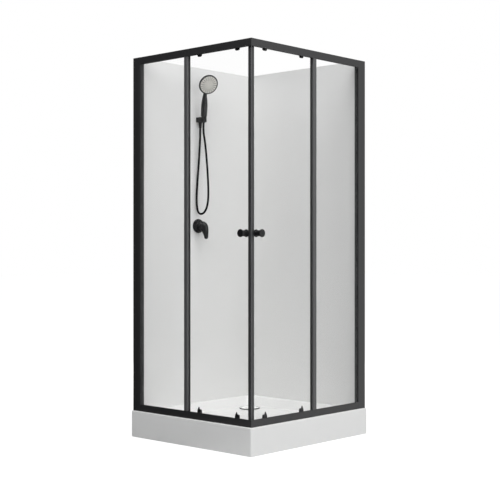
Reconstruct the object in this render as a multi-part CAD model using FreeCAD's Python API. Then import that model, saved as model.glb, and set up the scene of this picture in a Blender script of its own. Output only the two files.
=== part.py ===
import FreeCAD, Part
import math
import os

# Corner-entry shower enclosure, in millimetres. The origin is on the floor under the tray's centre.
# The entry corner is at +X -Y, the walls stand along -X and +Y. The left side's pieces are drawn first,
# and the right side's are their mirror images across the upright plane through the entry corner.

# Tray
tray_side = 900.0
tray_height = 140.0
tray_corner_radius = 9.0
tray_rim_fillet = 2.0
tray_shell = 6.0
apron_gap = 1.5
open_rim = 54.0
wall_rim = 48.0
basin_slope_run = 34.0
basin_corner_radius = 46.0
basin_floor_radius = 26.0
floor_height = 87.0
floor_fall = 5.0
floor_thickness = 9.0
waste_inset = 171.0
sump_radius = 59.0
sump_depth = 4.0
waste_hole_radius = 45.5

# Support frame and feet
support_tube = 25.0
support_tube_wall = 2.0
support_inset = 52.0
foot_pad_radius = 22.0
foot_pad_height = 9.0
foot_neck_height = 6.0
foot_stud_radius = 5.0
foot_stud_fit = 0.08
foot_stud_top = 66.0
foot_nut_radius = 8.5
foot_boss_radius = 10.0
foot_crown_radius = 15.4

# Waste and trap
trap_radius = 44.0
trap_wall = 3.0
trap_bottom = 12.0
trap_flange_radius = 55.0
trap_flange_height = 2.0
trap_nut_height = 10.0
trap_nut_wall = 6.0
outlet_radius = 20.0
outlet_length = 42.0
outlet_free_length = 41.0
outlet_collar_radius = 23.0
outlet_axis_height = 31.0
outlet_notch_radius = 30.0
cover_radius = 56.0
cover_height = 11.0
cover_edge = 3.0
cover_shell = 2.0
cover_lift = 2.5
cover_leg_radius = 3.0
cover_leg_ring = 49.0

# Frame of the two open sides
frame_inset = 14.0
frame_depth = 28.0
frame_top = 2030.0
top_rail_height = 38.0
bottom_rail_height = 37.0
rail_outer_wall = 1.8
rail_web = 1.6
rail_inner_wall = 1.4
rail_edge_radius = 1.2
rail_inner_lip_height = 24.0
rail_inner_rise = 4.0
glazing_slot = 9.7
web_drop = 3.0
web_rise = 30.0
track_reach = 5.9
upper_track_height = 11.0
lower_track_height = 22.0
track_thickness = 1.6
bead_width = 2.0
bead_height = 1.5
bead_setback = 2.5
post_width = 57.0
post_wall = 1.6
post_glass_slot = 14.0
post_panel_slot = 9.0
connector_leg = 56.0
connector_fit = 0.2
connector_drop = 26.0
screw_radius = 1.9
screw_head_radius = 3.6
screw_head_height = 2.0
screw_length = 14.0
screw_fit = 0.2

# Wall panels
panel_thickness = 6.0
panel_inset = 38.0
panel_fit = 0.3
corner_profile_side = 20.0
corner_profile_cover = 9.0

# Fixed panes
glass_thickness = 5.0
fixed_pane_depth = 4.2
pane_start = 460.0
pane_profile_width = 23.0
pane_profile_depth = 11.8
pane_profile_face = 1.2
pane_edge_wall = 3.0
pane_fit = 0.15
pane_slot_entry = 11.0
pane_rail_gap = 4.0
gasket_cover = 9.0
gasket_back = 2.5
seal_root_width = 3.6
seal_root_depth = 2.2
seal_fin_width = 1.6
seal_fin_reach = 1.2
seal_place = 5.0

# Sliding doors
door_pane_depth = 17.0
door_profile_depth = 14.5
door_profile_thickness = 10.0
leading_profile_end = 35.5
leading_pane_start = 27.2
magnet_seal_width = 3.35
seam_gap = 0.25
trailing_profile_start = 458.0
trailing_profile_width = 24.0
trailing_wall = 4.0
door_bottom_gap = 3.0
door_top_entry = 8.0
roller_near = 117.0
roller_far = 388.0
door_travel = 340.0
glass_hole_radius = 5.0
spigot_radius = 4.8
nut_radius = 9.0
nut_thickness = 2.6

# Rollers
axle_radius = 2.0
axle_fit = 0.05
axle_shoulder_radius = 3.2
wheel_width = 6.0
wheel_groove_width = 2.8
wheel_ride_gap = 0.15
upper_groove_radius = 8.6
upper_flange_radius = 9.8
lower_groove_radius = 6.0
lower_flange_radius = 7.2
wheel_hub_radius = 3.8
wheel_rim = 1.4
wheel_dish = 1.0
carrier_thickness = 3.3
carrier_disc_radius = 11.0
carrier_head_radius = 7.0
carrier_rise = 1.0
housing_width = 14.0
housing_rise = 18.0
housing_drop = 11.5
housing_clamp_rise = 7.0
release_width = 9.5
release_rise = 28.0
release_tip_width = 2.5
release_slide_gap = 0.3
release_foot_width = 18.0
release_foot_height = 12.0
stop_width = 16.0
stop_clearance = 0.6

# Door knobs
knob_place = 47.0
knob_height = 1083.0
knob_reach = 47.0
knob_disc_radius = 19.5
knob_disc_thickness = 6.0
knob_body_radius = 15.0
knob_groove_radius = 12.5
knob_groove_width = 4.0
knob_rosette_radius = 19.0
knob_rosette_thickness = 3.2
knob_washer_radius = 11.0
knob_washer_thickness = 2.9
knob_edge_radius = 1.0
knob_cap_radius = 11.0
knob_cap_reach = 10.0

# Mixer
mixer_height = 1136.0
escutcheon_radius = 39.5
escutcheon_thickness = 9.0
escutcheon_edge = 2.5
escutcheon_bore = 25.0
mixer_neck_radius = 22.0
mixer_neck_reach = 2.0
mixer_rear_radius = 27.0
mixer_rear_depth = 27.0
mixer_hole_radius = 23.0
mixer_spigot_radius = 9.0
mixer_block_depth = 19.0
inlet_drop = 40.0
inlet_radius = 10.48
inlet_length = 13.0
inlet_spacing = 46.0
inlet_bore = 7.0
inlet_shoulder = 13.0
riser_axis_depth = 14.0
cartridge_radius = 17.5
cartridge_length = 26.0
collar_back_radius = 31.0
collar_front_radius = 28.0
collar_length = 15.0
collar_gap = 0.3
ball_radius = 24.0
ball_gap = 0.35
pivot_reach = 28.0
riser_radius = 7.0
riser_bore = 5.0
riser_nut_radius = 11.0
riser_nut_length = 14.0

# Wall outlet, hose and hand shower
outlet_height = 1748.0
outlet_block_height = 27.0
outlet_block_width = 27.0
cradle_reach = 49.5
cradle_radius = 15.6
cradle_edge = 1.2
cradle_slot = 13.0
outlet_nozzle_reach = 20.0
outlet_nozzle_radius = 6.5
outlet_nozzle_length = 9.0
outlet_stub_radius = 11.0
outlet_rear_depth = 28.0
stub_hole_radius = 12.0
wall_nut_top_radius = 10.0
wall_nut_bottom_radius = 8.4
wall_nut_length = 32.0
hand_nut_top_radius = 12.0
hand_nut_bottom_radius = 10.2
hand_nut_length = 33.0
handle_seat = 2.0
cradle_fit = 0.3
hose_radius = 5.8
hose_lead = 46.4
lean_angle = 6.0
yaw_angle = 17.0
handle_half_width = 15.5
handle_length = 130.0
head_radius = 56.0
head_rim = 8.5
head_back_depth = 13.0
head_tilt = 21.5
head_rise = 177.5
head_forward = 43.0
face_recess = 2.0
spray_plate_radius = 51.0
spray_plate_thickness = 2.8
spray_plate_fit = 0.2

overrun = 5.0

# Places worked out from the sizes above
half_side = tray_side / 2
corner = half_side - frame_inset
top_rail_bottom = frame_top - top_rail_height
bottom_rail_top = tray_height + bottom_rail_height
web_face = rail_outer_wall + glazing_slot
web_back = web_face + rail_web
inner_face = frame_depth - rail_inner_wall
track_end = web_back + track_reach
bead_start = track_end - bead_setback
post_face = 2 * corner + frame_inset - post_width
panel_face = half_side - panel_inset
panel_back = panel_face + panel_thickness
wall_x = -panel_face
pane_end = post_face + pane_slot_entry
pane_bottom = tray_height + rail_outer_wall + pane_rail_gap
pane_top = frame_top - rail_outer_wall - pane_rail_gap
lower_track_top = tray_height + lower_track_height + track_thickness
door_bottom = lower_track_top + door_bottom_gap
door_top = top_rail_bottom + door_top_entry
door_inner = door_pane_depth + glass_thickness
trailing_profile_end = trailing_profile_start + trailing_profile_width
door_pane_end = trailing_profile_end - trailing_wall
wheel_start = bead_start + bead_width / 2 - wheel_width / 2
upper_axle_height = (top_rail_bottom + upper_track_height + track_thickness + bead_height
                     + upper_groove_radius + wheel_ride_gap)
lower_axle_height = tray_height + lower_track_height - bead_height - lower_groove_radius - wheel_ride_gap
waste_x = -half_side + waste_inset
waste_y = half_side - waste_inset
sump_floor = floor_height - sump_depth
support_top = floor_height - floor_thickness
support_place = half_side - tray_shell - support_inset - support_tube / 2
pivot_x = wall_x + pivot_reach
cradle_x = wall_x + cradle_reach
nozzle_x = wall_x + outlet_nozzle_reach
outlet_bottom = outlet_height - outlet_block_height
rear_axis_x = -panel_back - riser_axis_depth


def vec(x, y, z):
    return FreeCAD.Vector(x, y, z)


def place(u, d, z):
    """A point of the left side: u along the frame from the entry corner, d inwards, z up."""
    return vec(corner - u, -corner + d, z)


def box(x0, x1, y0, y1, z0, z1):
    return Part.makeBox(x1 - x0, y1 - y0, z1 - z0, vec(x0, y0, z0))


def slab(u0, u1, d0, d1, z0, z1):
    return box(corner - u1, corner - u0, -corner + d0, -corner + d1, z0, z1)


def prism(points, direction):
    """A solid from a closed outline of points, pushed along direction."""
    return Part.Face(Part.makePolygon(points + points[:1])).extrude(direction)


def upright(outline, z0, z1):
    """A left-side extrusion along Z from an outline of (u, d) pairs."""
    return prism([place(u, d, z0) for u, d in outline], vec(0, 0, z1 - z0))


def along_rail(outline, u0, u1, z0):
    """A left-side extrusion along the frame from an outline of (d, height) pairs."""
    return prism([place(u0, d, z0 + h) for d, h in outline], vec(u0 - u1, 0, 0))


def upright_plate(outline, d0, d1, u0, z0):
    """A left-side plate from an outline of (u, z) offsets about u0 and z0, between two depths."""
    return prism([place(u0 + u, d0, z0 + z) for u, z in outline], vec(0, d1 - d0, 0))


def depth_pin(radius, u, z, d0, d1):
    """A left-side cylinder along the depth direction."""
    return Part.makeCylinder(radius, d1 - d0, place(u, d0, z), vec(0, 1, 0))


def depth_turned(profile, u, z, d0, outward):
    """A turned piece about a left-side depth axis from (axial, radius) pairs."""
    sign = -1 if outward else 1
    points = [place(u, d0 + sign * a, z + r) for a, r in profile]
    face = Part.Face(Part.makePolygon(points + points[:1]))
    return face.revolve(place(u, d0, z), vec(0, 1, 0), 360)


def mirrored(shape):
    return shape.mirror(vec(0, 0, 0), vec(1, 1, 0))


def rounded_rectangle(x0, x1, y0, y1, radius, z):
    """A closed wire with straight sides and quarter arcs."""
    k = radius * (1 - math.sqrt(0.5))
    edges = [
        Part.makeLine(vec(x0 + radius, y0, z), vec(x1 - radius, y0, z)),
        Part.Arc(vec(x1 - radius, y0, z), vec(x1 - k, y0 + k, z), vec(x1, y0 + radius, z)).toShape(),
        Part.makeLine(vec(x1, y0 + radius, z), vec(x1, y1 - radius, z)),
        Part.Arc(vec(x1, y1 - radius, z), vec(x1 - k, y1 - k, z), vec(x1 - radius, y1, z)).toShape(),
        Part.makeLine(vec(x1 - radius, y1, z), vec(x0 + radius, y1, z)),
        Part.Arc(vec(x0 + radius, y1, z), vec(x0 + k, y1 - k, z), vec(x0, y1 - radius, z)).toShape(),
        Part.makeLine(vec(x0, y1 - radius, z), vec(x0, y0 + radius, z)),
        Part.Arc(vec(x0, y0 + radius, z), vec(x0 + k, y0 + k, z), vec(x0 + radius, y0, z)).toShape(),
    ]
    return Part.Wire(edges)


def tube_x(radius, x0, x1, y, z):
    return Part.makeCylinder(radius, x1 - x0, vec(x0, y, z), vec(1, 0, 0))


def tube_z(radius, z0, z1, x, y):
    return Part.makeCylinder(radius, z1 - z0, vec(x, y, z0), vec(0, 0, 1))


def turned_x(profile, y, z):
    """A turned piece about an axis along X from (x, radius) pairs."""
    points = [vec(x, y, z + r) for x, r in profile]
    face = Part.Face(Part.makePolygon(points + points[:1]))
    return face.revolve(vec(0, y, z), vec(1, 0, 0), 360)


def turned_z(profile, x, y):
    """A turned piece about an upright axis from (radius, z) pairs."""
    points = [vec(x + r, y, z) for r, z in profile]
    face = Part.Face(Part.makePolygon(points + points[:1]))
    return face.revolve(vec(x, y, 0), vec(0, 0, 1), 360)


def group(shapes):
    return Part.makeCompound(shapes)


def screw_places():
    """Where the bottom rails are screwed to the tray rim, as (u, d) pairs of the left side."""
    middle = rail_outer_wall + glazing_slot / 2
    first = connector_leg + screw_head_radius * 4
    last = pane_start - screw_head_radius * 4
    return [(first, middle), ((first + last) / 2, middle), (last, middle)]


def screw_holes():
    """Clearance cylinders of the rim screws on both sides."""
    cuts = []
    for u, d in screw_places():
        p = place(u, d, tray_height - screw_length - overrun)
        cut = tube_z(screw_radius + screw_fit, p.z, tray_height + overrun, p.x, p.y)
        cuts += [cut, mirrored(cut)]
    return cuts


# Tray
def basin(widen, z_top, z_bottom):
    """The hollow above the tray's floor, wider by widen on every side."""
    x0 = -half_side + wall_rim - widen
    x1 = half_side - open_rim + widen
    run = basin_slope_run
    top = rounded_rectangle(x0, x1, -x1, -x0, basin_corner_radius + widen, z_top)
    low = rounded_rectangle(x0 + run, x1 - run, run - x1, -x0 - run, basin_floor_radius + widen, z_bottom)
    return Part.makeLoft([top, low], True, True)


def shower_tray():
    outer = box(-half_side, half_side, -half_side, half_side, apron_gap, tray_height)
    outer = outer.makeFillet(tray_corner_radius, [e for e in outer.Edges if is_upright(e)])
    rim = [e for e in outer.Edges if min(v.Z for v in e.Vertexes) > tray_height - apron_gap]
    outer = outer.makeFillet(tray_rim_fillet, rim)
    hollow = basin(0, tray_height, floor_height)
    fall_angle = math.degrees(math.atan(floor_fall / (tray_side * math.sqrt(2))))
    above = Part.makeBox(tray_side * 3, tray_side * 3, tray_side)
    above.translate(vec(-tray_side * 1.5, -tray_side * 1.5, 0))
    above.rotate(vec(0, 0, 0), vec(1, 1, 0), -fall_angle)
    above.translate(vec(waste_x, waste_y, floor_height))
    hollow = hollow.common(above)
    inner = half_side - tray_shell
    under = box(-inner, inner, -inner, inner, 0, tray_height - tray_shell)
    under = under.cut(basin(tray_shell, tray_height, support_top))
    tray = outer.cut(hollow).cut(under)
    tray = tray.cut(tube_z(sump_radius, sump_floor, floor_height + overrun, waste_x, waste_y))
    tray = tray.cut(tube_z(waste_hole_radius, support_top - overrun, floor_height, waste_x, waste_y))
    return tray.cut(screw_holes() + [pipe_notch()])


def pipe_notch():
    """The round-topped cut in the apron on the wall side, through which the waste pipe goes."""
    outside = -half_side - overrun
    inside = -half_side + tray_shell + overrun
    r = outlet_notch_radius
    arch = tube_x(r, outside, inside, waste_y, outlet_axis_height)
    return arch.fuse(box(outside, inside, waste_y - r, waste_y + r, 0, outlet_axis_height))


def is_upright(edge):
    first, last = edge.Vertexes[0], edge.Vertexes[-1]
    return abs(first.X - last.X) + abs(first.Y - last.Y) < abs(first.Z - last.Z)


def support_bar(x0, x1, y0, y1):
    """A square steel tube under the tray floor, with its hollow."""
    low = support_top - support_tube
    bar = box(x0, x1, y0, y1, low, support_top)
    w = support_tube_wall
    if x1 - x0 > y1 - y0:
        return bar, box(x0 - overrun, x1 + overrun, y0 + w, y1 - w, low + w, support_top - w)
    return bar, box(x0 + w, x1 - w, y0 - overrun, y1 + overrun, low + w, support_top - w)


def tray_support_frame():
    h = support_tube / 2
    p = support_place
    spans = [(-p - h, p + h, -p - h, h - p), (-p - h, p + h, p - h, p + h), (-p - h, p + h, -h, h)]
    bars = [support_bar(*s) for s in spans] + [support_bar(s[2], s[3], s[0], s[1]) for s in spans]
    frame = bars[0][0].fuse([b for b, hollow in bars[1:]])
    frame = frame.cut([hollow for b, hollow in bars])
    low = support_top - support_tube
    bosses = [tube_z(foot_boss_radius, low, support_top, x, y) for x, y in foot_places()]
    frame = frame.fuse(bosses).removeSplitter()
    bore = foot_stud_radius + foot_stud_fit
    holes = [tube_z(bore, 0, support_top - support_tube_wall, x, y) for x, y in foot_places()]
    return frame.cut(holes)


def foot_places():
    p = support_place
    return [(0, 0), (p, -p), (-p, -p), (p, p), (-p, p)]


def levelling_foot(x, y):
    """A pad with a hexagon neck and its threaded stud."""
    neck = foot_pad_height + foot_neck_height
    stud = tube_z(foot_stud_radius, foot_pad_height, foot_stud_top, x, y)
    r = foot_nut_radius
    turns = [math.radians(60 * i) for i in range(6)]
    nut = prism([vec(x + r * math.cos(a), y + r * math.sin(a), 0) for a in turns], vec(0, 0, neck))
    pad = turned_z([(0, 0), (foot_pad_radius, 0), (foot_pad_radius, foot_pad_height / 3),
                    (foot_crown_radius, foot_pad_height), (0, foot_pad_height)], x, y)
    return pad.fuse([nut, stud])


# Waste
def waste_trap():
    r = trap_radius
    bore = r - trap_wall
    flange_top = sump_floor + trap_flange_height
    pipe_end = waste_x - r - outlet_length
    nut_low = support_top - trap_nut_height
    nut_radius_out = r + trap_nut_wall
    cup = turned_z([(0, trap_bottom), (r, trap_bottom), (r, sump_floor), (trap_flange_radius, sump_floor),
                    (trap_flange_radius, flange_top), (bore, flange_top),
                    (bore, trap_bottom + trap_wall), (0, trap_bottom + trap_wall)], waste_x, waste_y)
    pipe = tube_x(outlet_radius, pipe_end, waste_x, waste_y, outlet_axis_height)
    collar_end = pipe_end + outlet_free_length
    pipe = pipe.fuse(tube_x(outlet_collar_radius, collar_end, waste_x, waste_y, outlet_axis_height))
    core = tube_z(bore, trap_bottom + trap_wall, sump_floor, waste_x, waste_y)
    hole = tube_x(outlet_radius - trap_wall, pipe_end, waste_x, waste_y, outlet_axis_height)
    nut = turned_z([(r, nut_low), (nut_radius_out, nut_low), (nut_radius_out, support_top), (r, support_top)],
                   waste_x, waste_y)
    return cup.fuse([pipe.cut(core), nut]).cut(hole)


def dome(radius, low, edge, top):
    """A round disc from low, with a straight edge and a crown that rises from edge to top."""
    rise = top - edge
    curve = (radius ** 2 + rise ** 2) / (2 * rise)
    disc = tube_z(radius, low, top + overrun, waste_x, waste_y)
    return disc.common(Part.makeSphere(curve, vec(waste_x, waste_y, top - curve)))


def waste_cover():
    """A low dome on three legs, with its edge a little above the sump."""
    seat = sump_floor + trap_flange_height
    low = seat + cover_lift
    top = low + cover_height
    edge = low + cover_edge
    inside = dome(cover_radius - cover_shell, low - overrun, edge - cover_shell, top - cover_shell)
    cover = dome(cover_radius, low, edge, top).cut(inside)
    legs = []
    for angle in (90, 210, 330):
        x = waste_x + cover_leg_ring * math.cos(math.radians(angle))
        y = waste_y + cover_leg_ring * math.sin(math.radians(angle))
        legs.append(tube_z(cover_leg_radius, seat, edge, x, y))
    return cover.fuse(legs)


# Frame
def mitre(shape):
    """Cut a left rail along the upright plane through the entry corner."""
    low = tray_height - overrun
    wedge = upright([(-overrun, -overrun), (frame_depth + overrun, frame_depth + overrun),
                     (-overrun, frame_depth + overrun)], low, frame_top + overrun)
    return shape.cut(wedge)


def top_rail():
    """Outer wall, glazing slot, web with the wheel track, and inner wall, open below."""
    h = top_rail_height
    ceiling = h - rail_outer_wall
    track = upper_track_height + track_thickness
    rise = rail_inner_rise
    outline = [(0, 0), (0, h), (frame_depth, h), (frame_depth, rise), (inner_face, rise),
               (inner_face, ceiling), (web_back, ceiling), (web_back, track), (bead_start, track),
               (bead_start, track + bead_height), (bead_start + bead_width, track + bead_height),
               (bead_start + bead_width, track), (track_end, track), (track_end, upper_track_height),
               (web_back, upper_track_height), (web_back, web_drop), (web_face, web_drop),
               (web_face, ceiling), (rail_outer_wall, ceiling), (rail_outer_wall, 0)]
    rail = along_rail(outline, 0, post_face, top_rail_bottom)
    return mitre(soften(rail, [frame_top]))


def bottom_rail():
    """Outer wall, glazing slot, web with the guide track, and inner wall, open above."""
    h = bottom_rail_height
    floor = rail_outer_wall
    under = lower_track_height
    outline = [(0, 0), (0, h), (rail_outer_wall, h), (rail_outer_wall, floor), (web_face, floor),
               (web_face, web_rise), (web_back, web_rise), (web_back, under + track_thickness),
               (track_end, under + track_thickness), (track_end, under), (bead_start + bead_width, under),
               (bead_start + bead_width, under - bead_height), (bead_start, under - bead_height),
               (bead_start, under), (web_back, under), (web_back, floor), (inner_face, floor),
               (inner_face, rail_inner_lip_height), (frame_depth, rail_inner_lip_height), (frame_depth, 0)]
    rail = along_rail(outline, 0, post_face, tray_height)
    return mitre(rail).cut(screw_holes())


def soften(rail, heights):
    """Round the outer edges of a rail at the given heights."""
    outside = -corner
    edges = [e for e in rail.Edges
             if all(abs(v.Y - outside) < pane_fit for v in e.Vertexes)
             and all(min(abs(v.Z - h) for h in heights) < pane_fit for v in e.Vertexes)]
    return rail.makeFillet(rail_edge_radius, edges)


def wall_post():
    """A hollow upright with one slot for the fixed pane and one for the wall panel."""
    end = post_face + post_width
    outer = slab(post_face, end, 0, frame_depth, tray_height, frame_top)
    edge = [e for e in outer.Edges if is_upright(e) and all(abs(v.Y + corner) < pane_fit for v in e.Vertexes)]
    outer = outer.makeFillet(rail_edge_radius, edge)
    low = tray_height - overrun
    high = frame_top + overrun
    w = post_wall
    slot_u = corner + panel_face - panel_fit
    slot_end = corner + panel_back + panel_fit
    panel_floor = frame_depth - post_panel_slot
    cuts = [slab(post_face - overrun, post_face + post_glass_slot, rail_outer_wall, web_face, low, high),
            slab(slot_u, slot_end, panel_floor, frame_depth + overrun, low, high),
            slab(post_face + post_glass_slot + w, end - w, w, panel_floor - w, low, high),
            slab(post_face + w, slot_u - w, web_face + w, frame_depth - w, low, high),
            slab(slot_end + w, end - w, panel_floor, frame_depth - w, low, high)]
    return outer.cut(cuts)


def corner_connectors():
    """Two L-shaped mouldings in the glazing slots of the rails, above and below."""
    near = rail_outer_wall + connector_fit
    far = web_face - connector_fit
    spans = [(tray_height + rail_outer_wall, tray_height + connector_drop),
             (frame_top - connector_drop, frame_top - rail_outer_wall)]
    solids = []
    for low, high in spans:
        leg = slab(near, connector_leg, near, far, low, high)
        solids.append(leg.fuse(mirrored(leg)).removeSplitter())
    return group(solids)


def frame_screws():
    """Pan-head screws that hold the bottom rails on the rim."""
    solids = []
    for u, d in screw_places():
        p = place(u, d, 0)
        seat = tray_height + rail_outer_wall
        head = turned_z([(0, seat - screw_length), (screw_radius, seat - screw_length), (screw_radius, seat),
                         (screw_head_radius, seat), (screw_head_radius, seat + screw_head_height / 2),
                         (screw_head_radius / 2, seat + screw_head_height), (0, seat + screw_head_height)],
                        p.x, p.y)
        solids += [head, mirrored(head)]
    return group(solids)


def door_stops():
    """Blocks on the upper track that the wheels meet when a door is closed and when it is open."""
    low = top_rail_bottom + upper_track_height + track_thickness + bead_height
    high = frame_top - rail_outer_wall
    shut = roller_near - upper_flange_radius - stop_clearance
    wide = roller_far + door_travel + upper_flange_radius + stop_clearance
    blocks = [slab(shut - stop_width, shut, web_back, track_end, low, high),
              slab(wide, wide + stop_width, web_back, track_end, low, high)]
    return group(blocks + [mirrored(b) for b in blocks])


# Wall panels
def left_wall_panel():
    end = panel_face - corner_profile_side / 2 + corner_profile_cover
    start = -corner + frame_depth - post_panel_slot + panel_fit
    panel = box(-panel_back, -panel_face, start, end, tray_height, frame_top)
    mixer_hole = tube_x(mixer_hole_radius, -panel_back - overrun, wall_x + overrun, 0, mixer_height)
    stub_z = outlet_height - outlet_block_height / 2
    stub_hole = tube_x(stub_hole_radius, -panel_back - overrun, wall_x + overrun, 0, stub_z)
    return panel.cut([mixer_hole, stub_hole])


def back_wall_panel():
    end = panel_face - corner_profile_side / 2 + corner_profile_cover
    start = -corner + frame_depth - post_panel_slot + panel_fit
    return mirrored(box(-panel_back, -panel_face, start, end, tray_height, frame_top))


def back_corner_profile():
    """A square upright with a slot for each wall panel and an open core."""
    h = corner_profile_side / 2
    cx = -(panel_face + panel_thickness / 2)
    bar = box(cx - h, cx + h, -cx - h, -cx + h, tray_height, frame_top)
    low = tray_height - overrun
    high = frame_top + overrun
    reach = panel_face - h + corner_profile_cover + panel_fit
    slot = box(-panel_back - pane_fit, -panel_face + pane_fit, -cx - h - overrun, reach, low, high)
    return bar.cut([slot, mirrored(slot)])


# Fixed panes
def fixed_pane():
    start = pane_start + pane_edge_wall
    depth = fixed_pane_depth
    return slab(start, pane_end, depth, depth + glass_thickness, pane_bottom, pane_top)


def pane_profile():
    """The upright profile on the free edge of the fixed pane, with its seal groove."""
    start = pane_start
    end = start + pane_profile_width
    face = pane_profile_face
    back = face + pane_profile_depth
    low = bottom_rail_top
    high = top_rail_bottom
    bar = slab(start, end, face, back, low, high)
    slot_near = fixed_pane_depth - pane_fit
    slot_far = fixed_pane_depth + glass_thickness + pane_fit
    slot = slab(start + pane_edge_wall - pane_fit, end + overrun, slot_near, slot_far,
                low - overrun, high + overrun)
    groove_u = start + seal_place
    root = slab(groove_u, groove_u + seal_root_width, back - seal_root_depth, back + overrun,
                low - overrun, high + overrun)
    return bar.cut([slot, root])


def upright_seal():
    """A brush strip in the groove, which reaches almost to the sliding door's profile."""
    back = pane_profile_face + pane_profile_depth
    groove_u = pane_start + seal_place
    middle = groove_u + seal_root_width / 2
    low = bottom_rail_top
    high = top_rail_bottom
    root = slab(groove_u + pane_fit, groove_u + seal_root_width - pane_fit, back - seal_root_depth + pane_fit,
                back, low, high)
    half = seal_fin_width / 2
    fin = slab(middle - half, middle + half, back, back + seal_fin_reach, low, high)
    return root.fuse(fin).removeSplitter()


def glazing_gasket():
    """Three U-shaped strips round the edges of the fixed pane: top, bottom and wall side."""
    near = rail_outer_wall + pane_fit
    far = web_face - pane_fit
    start = pane_start + pane_edge_wall
    glass = fixed_pane()
    top = slab(start, post_face - pane_fit, near, far, pane_top - gasket_cover, pane_top + gasket_back)
    low = slab(start, post_face - pane_fit, near, far, pane_bottom - gasket_back, pane_bottom + gasket_cover)
    side = slab(post_face + pane_fit, pane_end + gasket_back, near, far, pane_bottom, pane_top)
    return [top.cut(glass), low.cut(glass), side.cut(glass)]


# Sliding doors
def door_pane():
    pane = slab(leading_pane_start, door_pane_end, door_pane_depth, door_inner, door_bottom, door_top)
    near = door_pane_depth - overrun
    far = door_inner + overrun
    holes = [depth_pin(glass_hole_radius, u, z, near, far) for u, z in pane_hole_places()]
    return pane.cut(holes)


def pane_hole_places():
    low = bottom_rail_top + housing_clamp_rise
    high = top_rail_bottom + carrier_rise
    clamp = housing_clamp_shift()
    rollers = (roller_near, roller_far)
    return [(u, high) for u in rollers] + [(u + clamp, low) for u in rollers] + [(knob_place, knob_height)]


def housing_clamp_shift():
    return -housing_width / 2 + release_slide_gap


def door_profiles():
    """The leading profile with its slanted nose and the trailing profile, both gripping the pane."""
    near = door_profile_depth
    far = near + door_profile_thickness
    nose = seam_gap + magnet_seal_width
    low = door_bottom
    high = door_top
    slot_near = door_pane_depth - pane_fit
    slot_far = door_inner + pane_fit
    lead = upright([(near + nose, near), (leading_profile_end, near), (leading_profile_end, far),
                    (far + nose, far)], low, high)
    lead = lead.cut(slab(leading_pane_start - pane_fit, leading_profile_end + overrun, slot_near, slot_far,
                         low - overrun, high + overrun))
    trail = slab(trailing_profile_start, trailing_profile_end, near, far, low, high)
    trail = trail.cut(slab(trailing_profile_start - overrun, door_pane_end + pane_fit, slot_near, slot_far,
                           low - overrun, high + overrun))
    return group([lead, trail])


def door_magnet_seal():
    """A slanted strip on the leading profile that meets the other door's strip."""
    near = door_profile_depth
    far = near + door_profile_thickness
    inner = seam_gap + magnet_seal_width
    return upright([(near + seam_gap, near), (near + inner, near), (far + inner, far), (far + seam_gap, far)],
                   door_bottom, door_top)


def knob_profile():
    """Axial and radial places of a knob from the glass outwards."""
    rosette = knob_washer_thickness
    face = rosette + knob_rosette_thickness
    disc = knob_reach - knob_disc_thickness
    e = knob_edge_radius
    groove = (face + disc) / 2
    half = knob_groove_width / 2
    return [(0, 0), (0, knob_washer_radius), (rosette, knob_washer_radius),
            (rosette, knob_rosette_radius - e), (rosette + e, knob_rosette_radius),
            (face - e, knob_rosette_radius), (face, knob_rosette_radius - e), (face, knob_groove_radius),
            (face + half, knob_groove_radius), (face + half + e, knob_body_radius),
            (groove - half, knob_body_radius), (groove - half + e, knob_groove_radius),
            (groove + half - e, knob_groove_radius), (groove + half, knob_body_radius),
            (disc - half - e, knob_body_radius), (disc - half, knob_groove_radius),
            (disc, knob_groove_radius), (disc, knob_disc_radius - e), (disc + e, knob_disc_radius),
            (knob_reach - e, knob_disc_radius), (knob_reach, knob_disc_radius - e), (knob_reach, 0)]


def door_knobs():
    """The outer knob with its stud through the glass and the low cap nut inside."""
    outer = depth_turned(knob_profile(), knob_place, knob_height, door_pane_depth, True)
    e = knob_edge_radius
    cap = [(0, 0), (0, knob_cap_radius), (knob_cap_reach - e, knob_cap_radius),
           (knob_cap_reach, knob_cap_radius - e), (knob_cap_reach, 0)]
    inner = depth_turned(cap, knob_place, knob_height, door_inner, False)
    stud = depth_pin(spigot_radius, knob_place, knob_height, door_pane_depth - pane_fit, door_inner)
    return group([outer.fuse(stud), inner])


def disc_points(radius, u, z, start, end, count):
    """Points of an arc about (u, z) from start to end degrees."""
    turns = [math.radians(start + (end - start) * i / count) for i in range(count + 1)]
    return [(u + radius * math.cos(a), z + radius * math.sin(a)) for a in turns]


def clamp(u, z):
    """The spigot through the glass and the flat nut on its outer face."""
    nut = depth_pin(nut_radius, u, z, door_pane_depth - nut_thickness, door_pane_depth)
    pin = depth_pin(spigot_radius, u, z, door_pane_depth - pane_fit, door_inner + pane_fit)
    return [nut, pin]


def axle(u, z):
    """A wheel pin with its shoulder, on the carrier's outer face."""
    pin = depth_pin(axle_radius, u, z, wheel_start - pane_fit, door_inner + pane_fit)
    wheel_back = wheel_start + wheel_width
    shoulder = depth_pin(axle_shoulder_radius, u, z, wheel_back + pane_fit, door_inner + pane_fit)
    return [pin, shoulder]


def upper_carrier(u):
    """A drop-shaped arm from the clamp disc up to the wheel pin."""
    z = top_rail_bottom + carrier_rise
    rise = upper_axle_height - z
    outline = disc_points(carrier_disc_radius, 0, 0, 150, 390, 16)
    outline += disc_points(carrier_head_radius, 0, rise, 0, 180, 10)
    arm = upright_plate(outline, door_inner, door_inner + carrier_thickness, u, z)
    return arm.fuse(clamp(u, z) + axle(u, upper_axle_height))


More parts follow.
